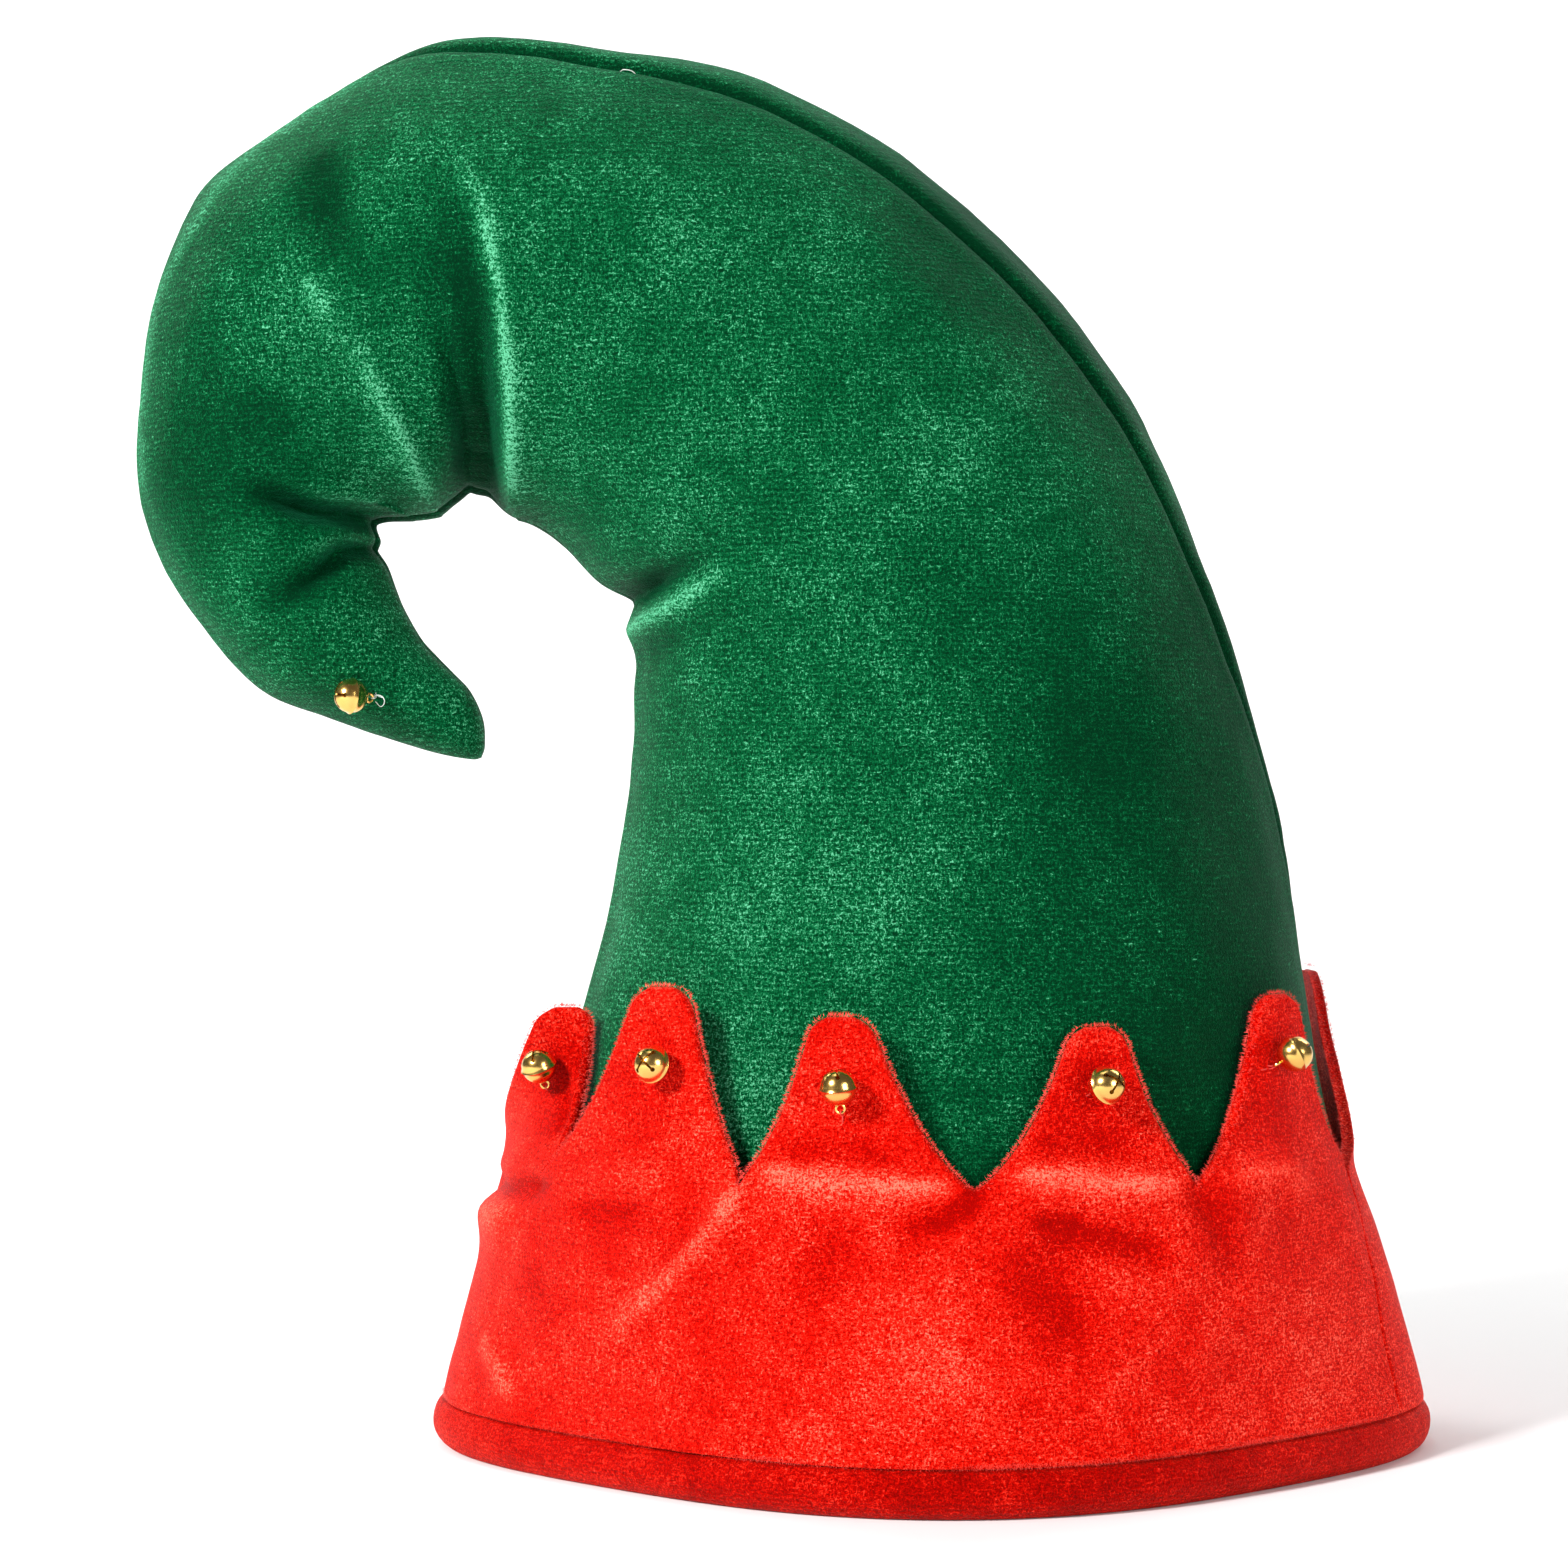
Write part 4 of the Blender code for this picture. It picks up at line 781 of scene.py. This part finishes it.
def hem_places(round_deg, roll_deg, inset):
    turn, roll = np.radians(round_deg), np.radians(roll_deg)
    across = (HEM_ACROSS - inset) * np.cos(roll)
    up = np.maximum((HEM_UP - inset) * np.sin(roll), inset - HEM_CENTRE_Z)
    pinched = 1 - HEM_PINCH * np.sin(2 * turn) ** 2
    rim = np.stack([
        HEM_CENTRE_X + HEM_HALF_WIDTH * np.sin(turn) * pinched,
        -HEM_HALF_DEPTH * np.cos(turn) * pinched,
        HEM_CENTRE_Z + up,
    ], axis=1)
    outward = np.stack([np.sin(turn) / HEM_HALF_WIDTH, -np.cos(turn) / HEM_HALF_DEPTH, np.zeros_like(turn)], axis=1)
    outward /= np.linalg.norm(outward, axis=1)[:, None]
    puckers = unevenness(rim, PUCKER_SPACINGS, 5) * np.clip((rim[:, 2] - 0.6) / 3, 0, 1)
    return rim + outward * (across - HEM_ACROSS - puckers - 0.15)[:, None]


hem_built = bmesh.new()
hem_keep = hem_built.verts.layers.float_vector.new("spot")
# A per-corner layer of painted light and shade for the hem's tone.
hem_painted_shading = hem_built.verts.layers.float.new("nap")
bmesh.ops.create_grid(hem_built, x_segments=HEM_COLUMNS, y_segments=HEM_ROWS, size=1)
for corner in hem_built.verts:
    corner[hem_keep] = ((corner.co.x + 1) / 2, (corner.co.y + 1) / 2, 0)


def hem_sides(corners, is_outer):
    column = np.array([v[hem_keep][0] for v in corners])
    row = np.array([v[hem_keep][1] for v in corners])
    rolled = HEM_ROLL_FROM + (HEM_ROLL_TO - HEM_ROLL_FROM) * row
    # Painted shade: the hem is painted darker at the front and darker still along the top of the roll under the cuff's
    # foot, and a little lighter elsewhere.
    for corner, share, turned in zip(corners, column, rolled):
        front = max(0.0, math.cos(math.tau * share - 0.3)) ** 2
        corner[hem_painted_shading] = 0.07 - 0.22 * front - (0.3 if turned > 415 else 0.0)
    return hem_places(360.0 * (column % 1.0), rolled, 0.0 if is_outer else HEM_WALL)


wall(hem_built, hem_sides)
bmesh.ops.remove_doubles(hem_built, verts=hem_built.verts, dist=1e-6)
end_walls = [f for f in hem_built.faces if all(abs(v[hem_keep].x % 1.0) < 1e-6 for v in f.verts)]
bmesh.ops.delete(hem_built, geom=end_walls, context="FACES")
bmesh.ops.recalc_face_normals(hem_built, faces=hem_built.faces)
hem = finish_cloth(hem_built, "hem_velvet", shaded_hem_red_velvet, shaded_hem_red_velvet)
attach(hem, "root")
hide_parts("hem_roll")

# Bells
# Small round bells pressed from brass sheet in two halves, joined in a bead round the middle and
# gilded. A cross of two slits ends in round holes, and a wire loop on the other side is sewn to
# the cloth. All eleven have the same shell.
BELL_RADIUS, BELL_SHELL, BELL_BEAD = 4.0, 0.32, 0.3
SLIT_WIDTH, SLIT_REACH, SLIT_HOLE = 0.5, 2.75, 0.52
LOOP_RADIUS, LOOP_WIRE, LOOP_REACH = 0.95, 0.3, 4.75
SEAT_GAP = 0.3
BellSeat = namedtuple("BellSeat", "name point across z loop_deg dip_deg twist_deg")
BELL_SEATS = (
    BellSeat("bell_01", 0, 0.10, 91.5, -6, 24, 20),
    BellSeat("bell_02", 1, 0.22, 94.4, -6, 78, 45),
    BellSeat("bell_03", 2, -0.04, 90.6, -4, 16, 10),
    BellSeat("bell_04", 3, 0.00, 90.8, 52, 66, 20),
    BellSeat("bell_05", 4, -0.14, 95.3, 60, 30, 65),
    BellSeat("bell_06", 5, 0.66, 89.0, -20, 30, 15),
    BellSeat("bell_07", 6, -0.05, 92.0, 12, 35, 50),
    BellSeat("bell_08", 7, 0.05, 91.0, -35, 45, 5),
    BellSeat("bell_09", 8, 0.00, 92.5, 8, 25, 35),
    BellSeat("bell_10", 9, 0.05, 93.5, 25, 40, 60),
)
gold = Finish("gold plate")
gold_patches = gold.noise(260, 2.0, 0.5)
gold_scratch = gold.noise(1.0, 2.0, 0.6, gold.place((900, 5200, 900), (0.4, 0.2, 0.7)))
gold.set(
    Base_Color=gold.mix(gold_patches, (0.74, 0.43, 0.10), (0.90, 0.58, 0.18)),
    Roughness=gold_patches * 0.12 + 0.15,
    Normal=gold.node("ShaderNodeBump", {}, 0.12, 0.0001, None, gold_scratch),
    Metallic=1.0,
)


def bell_shell():
    """A hollow bell round the origin, slits up and loop down, in metres."""
    ball = bmesh.new()
    profile = []
    for degrees in range(90, -91, -6):
        turn = math.radians(degrees)
        bead = BELL_BEAD * math.exp(-(BELL_RADIUS * turn / 0.30) ** 2)
        profile.append(((BELL_RADIUS + bead) * math.cos(turn), BELL_RADIUS * math.sin(turn)))
    for degrees in range(-90, 91, 15):
        turn = math.radians(degrees)
        inner = BELL_RADIUS - BELL_SHELL
        profile.append((inner * math.cos(turn), inner * math.sin(turn)))
    rail = [ball.verts.new((max(r, 0.0) * MM, 0, z * MM)) for r, z in profile]
    edges = [ball.edges.new(pair) for i, pair in enumerate(zip(rail, rail[1:])) if i != 30]
    bmesh.ops.spin(
        ball, geom=rail + edges, cent=(0, 0, 0), axis=(0, 0, 1),
        angle=math.tau, steps=40, use_merge=True,
    )
    bmesh.ops.remove_doubles(ball, verts=ball.verts, dist=1e-6)
    bmesh.ops.recalc_face_normals(ball, faces=ball.faces)
    inner_faces = [f for f in ball.faces if f.calc_center_median().length < (BELL_RADIUS - BELL_SHELL / 2) * MM]
    for face in inner_faces:
        if face.normal.dot(face.calc_center_median()) > 0:
            face.normal_flip()
    shell = bpy.data.objects.new("bell shell", bpy.data.meshes.new("bell shell"))
    ball.to_mesh(shell.data)
    ball.free()
    hat.objects.link(shell)

    tool = bmesh.new()
    for turn in (0, math.pi / 2):
        slab = bmesh.ops.create_cube(tool, size=1)["verts"]
        bmesh.ops.scale(tool, verts=slab, vec=(2 * SLIT_REACH * MM, SLIT_WIDTH * MM, 4 * MM))
        bmesh.ops.translate(tool, verts=slab, vec=(0, 0, 3.6 * MM))
        bmesh.ops.rotate(tool, verts=slab, cent=(0, 0, 0), matrix=Matrix.Rotation(turn, 3, "Z"))
    for turn in (0, 1, 2, 3):
        peg = bmesh.ops.create_cone(
            tool, cap_ends=True, segments=12, radius1=SLIT_HOLE * MM, radius2=SLIT_HOLE * MM, depth=3 * MM,
        )["verts"]
        bmesh.ops.translate(tool, verts=peg, vec=(0, 0, 4 * MM))
        lean = Matrix.Rotation(math.asin(SLIT_REACH / BELL_RADIUS), 3, "Y")
        bmesh.ops.rotate(tool, verts=peg, cent=(0, 0, 0), matrix=Matrix.Rotation(turn * math.pi / 2, 3, "Z") @ lean)
    cutter = bpy.data.objects.new("slit tool", bpy.data.meshes.new("slit tool"))
    tool.to_mesh(cutter.data)
    tool.free()
    hat.objects.link(cutter)
    cut = shell.modifiers.new("slits", "BOOLEAN")
    cut.operation, cut.solver, cut.use_self, cut.object = "DIFFERENCE", "EXACT", True, cutter
    bpy.context.view_layer.update()
    mesh = bpy.data.meshes.new_from_object(shell.evaluated_get(bpy.context.evaluated_depsgraph_get()))
    bpy.data.objects.remove(shell)
    bpy.data.objects.remove(cutter)

    whole = bmesh.new()
    whole.from_mesh(mesh)
    bpy.data.meshes.remove(mesh)
    ring = bmesh.ops.create_circle(whole, segments=8, radius=LOOP_WIRE * MM)["verts"]
    bmesh.ops.translate(whole, verts=ring, vec=(LOOP_RADIUS * MM, 0, 0))
    ring_edges = [e for e in whole.edges if e.verts[0] in ring and e.verts[1] in ring]
    bmesh.ops.rotate(whole, verts=ring, cent=(LOOP_RADIUS * MM, 0, 0), matrix=Matrix.Rotation(math.pi / 2, 3, "X"))
    before = set(whole.verts) - set(ring)
    bmesh.ops.spin(
        whole, geom=ring + ring_edges, cent=(0, 0, 0), axis=(0, 0, 1),
        angle=math.tau, steps=20, use_merge=True,
    )
    wire = [v for v in whole.verts if v not in before]
    bmesh.ops.rotate(whole, verts=wire, cent=(0, 0, 0), matrix=Matrix.Rotation(math.pi / 2, 3, "X"))
    bmesh.ops.translate(whole, verts=wire, vec=(0, 0, -LOOP_REACH * MM))
    loop_faces = [f for f in whole.faces if f.verts[0] in wire]
    bmesh.ops.recalc_face_normals(whole, faces=loop_faces)
    return whole


bell_pattern = bell_shell()


def place_bell(name, spot, normal, loop_way, dip_deg, twist_deg):
    """Puts a copy of the bell outside a place in the cloth, its loop dipped down to it."""
    dip = math.radians(dip_deg)
    flat_way = (loop_way - normal * loop_way.dot(normal)).normalized()
    down = (flat_way * math.cos(dip) - normal * math.sin(dip)).normalized()
    side = normal.cross(down).normalized()
    turned = Matrix((side, side.cross(down), -down)).transposed() @ Matrix.Rotation(math.radians(twist_deg), 3, "Z")
    centre = spot + normal * (BELL_RADIUS + BELL_BEAD + SEAT_GAP)
    own = bell_pattern.copy()
    bmesh.ops.transform(own, verts=own.verts, matrix=Matrix.Translation(centre * MM) @ turned.to_4x4())
    mesh = bpy.data.meshes.new(name)
    own.to_mesh(mesh)
    own.free()
    mesh.shade_smooth()
    mesh.set_sharp_from_angle(angle=math.radians(40))
    mesh.materials.append(gold.material)
    made = bpy.data.objects.new(name + "_shell", mesh)
    hat.objects.link(made)
    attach(made, "root")
    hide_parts(name)
    return centre, down, turned @ Vector((0, 1, 0))


def normal_of(at, u, v, step_u, step_v):
    """The outward normal of a surface at(u, v) from short steps along it."""
    along_u = Vector(at(u + step_u, v)) - Vector(at(u - step_u, v))
    along_v = Vector(at(u, v + step_v)) - Vector(at(u, v - step_v))
    return along_u.cross(along_v).normalized()


def one_cuff_place(k, across, rise):
    """A single place on a cuff point, with its folds."""
    round_deg, z, lean = on_cuff_point(k, np.array([across]), np.array([rise]))
    return cuff_places(round_deg, z, lean - cuff_relief(round_deg, z))[0]


bell_spots = {}
for seat in BELL_SEATS:
    tip_z = CUFF_POINTS[seat.point].tip_z
    rise = (seat.z - NOTCH_Z) / (tip_z - NOTCH_Z)
    normal = normal_of(lambda a, r, k=seat.point: one_cuff_place(k, a, r), seat.across, rise, 0.3, 0.1)
    sideways = Vector((0, 0, 1)).cross(normal).normalized()
    swing = math.radians(seat.loop_deg)
    loop_way = Vector((0, 0, -math.cos(swing))) - sideways * math.sin(swing)
    spot = Vector(one_cuff_place(seat.point, seat.across, rise))
    bell_spots[seat.name] = (spot, normal, *place_bell(
        seat.name, spot, normal, loop_way, seat.dip_deg, seat.twist_deg))

TIP_BELL_SECTION, TIP_BELL_ROUND_DEG, TIP_BELL_LOOP_DEG = 23.7, 81, -66


def one_crown_place(turn_deg, s):
    return crown_places(np.array([s]), np.array([turn_deg]), 0.0, True)[0][0]


tip_normal = normal_of(one_crown_place, TIP_BELL_ROUND_DEG, TIP_BELL_SECTION, 12, 0.3)
tip_normal = -tip_normal if tip_normal.y > 0 else tip_normal
tip_swing = math.radians(TIP_BELL_LOOP_DEG)
tip_way = Vector((-math.sin(tip_swing), 0, -math.cos(tip_swing)))
tip_spot = Vector(one_crown_place(TIP_BELL_ROUND_DEG, TIP_BELL_SECTION))
bell_spots["bell_tip"] = (tip_spot, tip_normal, *place_bell("bell_tip", tip_spot, tip_normal, tip_way, 24, 30))
bell_pattern.free()

# Threads
# Each bell is sewn on by a doubled red thread through its wire loop, whose end is left standing. The
# tip bell has a clear nylon thread, and a white basting thread is left in the seam over the bend.
THREAD_RADIUS = 0.16


def thread_finish(name, pale, deep, roughness):
    yarn = Finish(name)
    plies = yarn.noise(1.0, 1.0, 0.5, yarn.place((2600, 2600, 5200), (0.6, 0.3, 0)))
    yarn.set(
        Base_Color=yarn.mix(plies, deep, pale), Roughness=roughness,
        Normal=yarn.node("ShaderNodeBump", {}, 0.5, 0.0001, None, plies),
    )
    return yarn.material


def threads(name, strands, radius, finish):
    """Thin threads along strands of places, as one object."""
    line = bpy.data.curves.new(name, "CURVE")
    line.dimensions, line.bevel_depth, line.bevel_resolution = "3D", radius * MM, 1
    line.resolution_u, line.use_fill_caps = 4, True
    for strand in strands:
        spline = line.splines.new("BEZIER")
        spline.bezier_points.add(len(strand) - 1)
        for point, place in zip(spline.bezier_points, strand):
            point.co = place * MM
            point.handle_left_type = point.handle_right_type = "AUTO"
    line.materials.append(finish)
    made = bpy.data.objects.new(name, line)
    hat.objects.link(made)
    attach(made, "root")
    return made


def bell_strands(name, tail):
    """The stitch through a bell's loop, and the tail of its thread."""
    spot, normal, centre, down, side = bell_spots[name]
    ring_end = centre + down * (LOOP_REACH + LOOP_RADIUS - 0.1)
    foot = ring_end - normal * ((ring_end - spot).dot(normal) + 0.5) + down * 0.2
    flat_down = (down - normal * down.dot(normal)).normalized()
    stitch = [foot + side * 0.55, ring_end + down * 0.35 + side * 0.2, ring_end - down * 0.4 + side * 0.05,
              ring_end + down * 0.35 - side * 0.25, foot - side * 0.55]
    loose = [foot + side * 0.3, foot + normal * 0.9 + flat_down * 0.8,
             foot + normal * 1.0 + flat_down * (1.0 + tail) + side * 0.5 * tail]
    return [stitch, loose]


red_thread = thread_finish("red sewing thread", (0.80, 0.05, 0.03), (0.45, 0.01, 0.01), 0.6)
cuff_strands = [strand for i, seat in enumerate(BELL_SEATS) for strand in bell_strands(seat.name, 1.0 + i % 3 * 0.6)]
threads("bell_threads", cuff_strands, THREAD_RADIUS, red_thread)
nylon = thread_finish("clear nylon thread", (0.80, 0.86, 0.82), (0.45, 0.60, 0.52), 0.25)
tip_knot = bell_spots["bell_tip"][2] + bell_spots["bell_tip"][3] * (LOOP_REACH + 0.8)
tip_normal = bell_spots["bell_tip"][1]
tip_strands = bell_strands("bell_tip", 1.2)
tip_strands.append([
    tip_knot, tip_knot + Vector((1.4, 0, 1.2)) + tip_normal * 1.0, tip_knot + Vector((2.8, 0, 0.2)) + tip_normal * 1.2,
    tip_knot + Vector((2.2, 0, -1.6)) + tip_normal * 0.7, tip_knot + Vector((0.6, 0, -1.2)) - tip_normal * 0.8,
])
threads("tip_bell_thread", tip_strands, 0.12, nylon)
basting = thread_finish("white basting thread", (0.90, 0.92, 0.88), (0.62, 0.70, 0.64), 0.7)
BASTING_SECTIONS = ((12.60, 32.5, -0.5), (12.64, 33.0, 0.5), (12.69, 33.5, 0.6), (12.72, 32.0, 0.7), (12.74, 30.0, 0.3))
basting_strand = []
for section, turn_deg, out in BASTING_SECTIONS:
    place = Vector(one_crown_place(turn_deg, section))
    basting_strand.append(place + Vector((0, -0.55, 0.83)) * out)
threads("basting_thread", [basting_strand], 0.11, basting)

# Pile
# The velvet's pile stands out past the turned edges of the cuff's points and hangs from its foot on
# the hem, as a short lighter fuzz. It is made of single blades thrown a little to all sides.
PILE_PER_MM, PILE_LENGTH, PILE_WIDTH = 16, 1.15, 0.17
pile_random = np.random.default_rng(7)


def foot_edge(first, count):
    """Places along the foot of the cuff strip from notch first on, where its pile hangs on the hem."""
    round_deg = np.linspace(notch_deg(first), notch_deg(first + POINTS_IN_STRIP), count)
    z = np.full(count, CUFF_FOOT_OUTER + 1.5)
    relief = cuff_relief(round_deg, z)
    middle = cuff_places(round_deg, z, -relief - CUFF_WALL / 2 - 0.2)
    step = np.gradient(middle, axis=0)
    step /= np.linalg.norm(step, axis=1)[:, None]
    up = (cuff_places(round_deg, z, -relief) - middle) / (CUFF_WALL / 2 + 0.2)
    return middle, step, up, np.tile((0.0, 0.0, -1.0), (count, 1))


def point_edge(k, count):
    """Places round the edge of cuff point k, with the ways out of it and out of the cloth."""
    walk = np.linspace(0.0, 1.0, count)
    across = np.interp(walk, (0, 0.46, 0.54, 1), (-1, -1, 1, 1))
    rise = np.interp(walk, (0, 0.46, 0.54, 1), (0, 1, 1, 0))
    round_deg, z, lean = on_cuff_point(k, across, rise)
    relief = cuff_relief(round_deg, z)
    middle = cuff_places(round_deg, z, lean - relief - CUFF_WALL / 2)
    outside = cuff_places(round_deg, z, lean - relief)
    step = np.gradient(middle, axis=0)
    step /= np.maximum(np.linalg.norm(step, axis=1), 1e-9)[:, None]
    up = (outside - middle) / (CUFF_WALL / 2)
    out = np.cross(up, step)
    out /= np.maximum(np.linalg.norm(out, axis=1), 1e-9)[:, None]
    return middle, step, up, out


def pile_fringe(name, first, finish):
    """Blades of pile along the edges of a cuff strip, each a thin triangle."""
    corners = []
    edges = [(point_edge, k, (-80, 80)) for k in range(first, first + POINTS_IN_STRIP)]
    edges += [(foot_edge, first, (5, 50)), (foot_edge, first, (40, 85))]
    for edge, start, spread in edges:
        length = np.linalg.norm(np.diff(edge(start, 200)[0], axis=0), axis=1).sum()
        count = int(length * PILE_PER_MM)
        middle, step, up, out = edge(start, count)
        round_edge = np.radians(pile_random.uniform(*spread, count))
        way = out * np.cos(round_edge)[:, None] + up * np.sin(round_edge)[:, None]
        base = middle + way * (CUFF_WALL / 2 - 0.15) - out * 0.35
        comb = way + pile_random.normal(0, 0.45, (count, 3)) + np.array((0, 0, -0.15))
        comb /= np.linalg.norm(comb, axis=1)[:, None]
        tall = PILE_LENGTH * pile_random.uniform(0.45, 1.0, count)[:, None]
        broad = step * PILE_WIDTH / 2
        corners.append(np.stack([base - broad, base + broad, base + comb * tall], axis=1))
    blades = np.concatenate(corners).reshape(-1, 3) * MM
    mesh = bpy.data.meshes.new(name)
    mesh.from_pydata(blades.tolist(), [], np.arange(len(blades)).reshape(-1, 3).tolist())
    mesh.shade_smooth()
    mesh.materials.append(finish)
    made = bpy.data.objects.new(name, mesh)
    hat.objects.link(made)
    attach(made, "root")
    return made


red_pile = Finish("red pile tips")
pile_tone = red_pile.noise(900, 2.0, 0.6)
red_pile.set(
    Base_Color=red_pile.mix(pile_tone, (0.78, 0.010, 0.004), (1.0, 0.085, 0.055)),
    Roughness=pile_tone * 0.3 + 0.45,
)
pile_fringe("cuff_front_pile", 0, red_pile.material)
pile_fringe("cuff_back_pile", POINTS_IN_STRIP, red_pile.material)
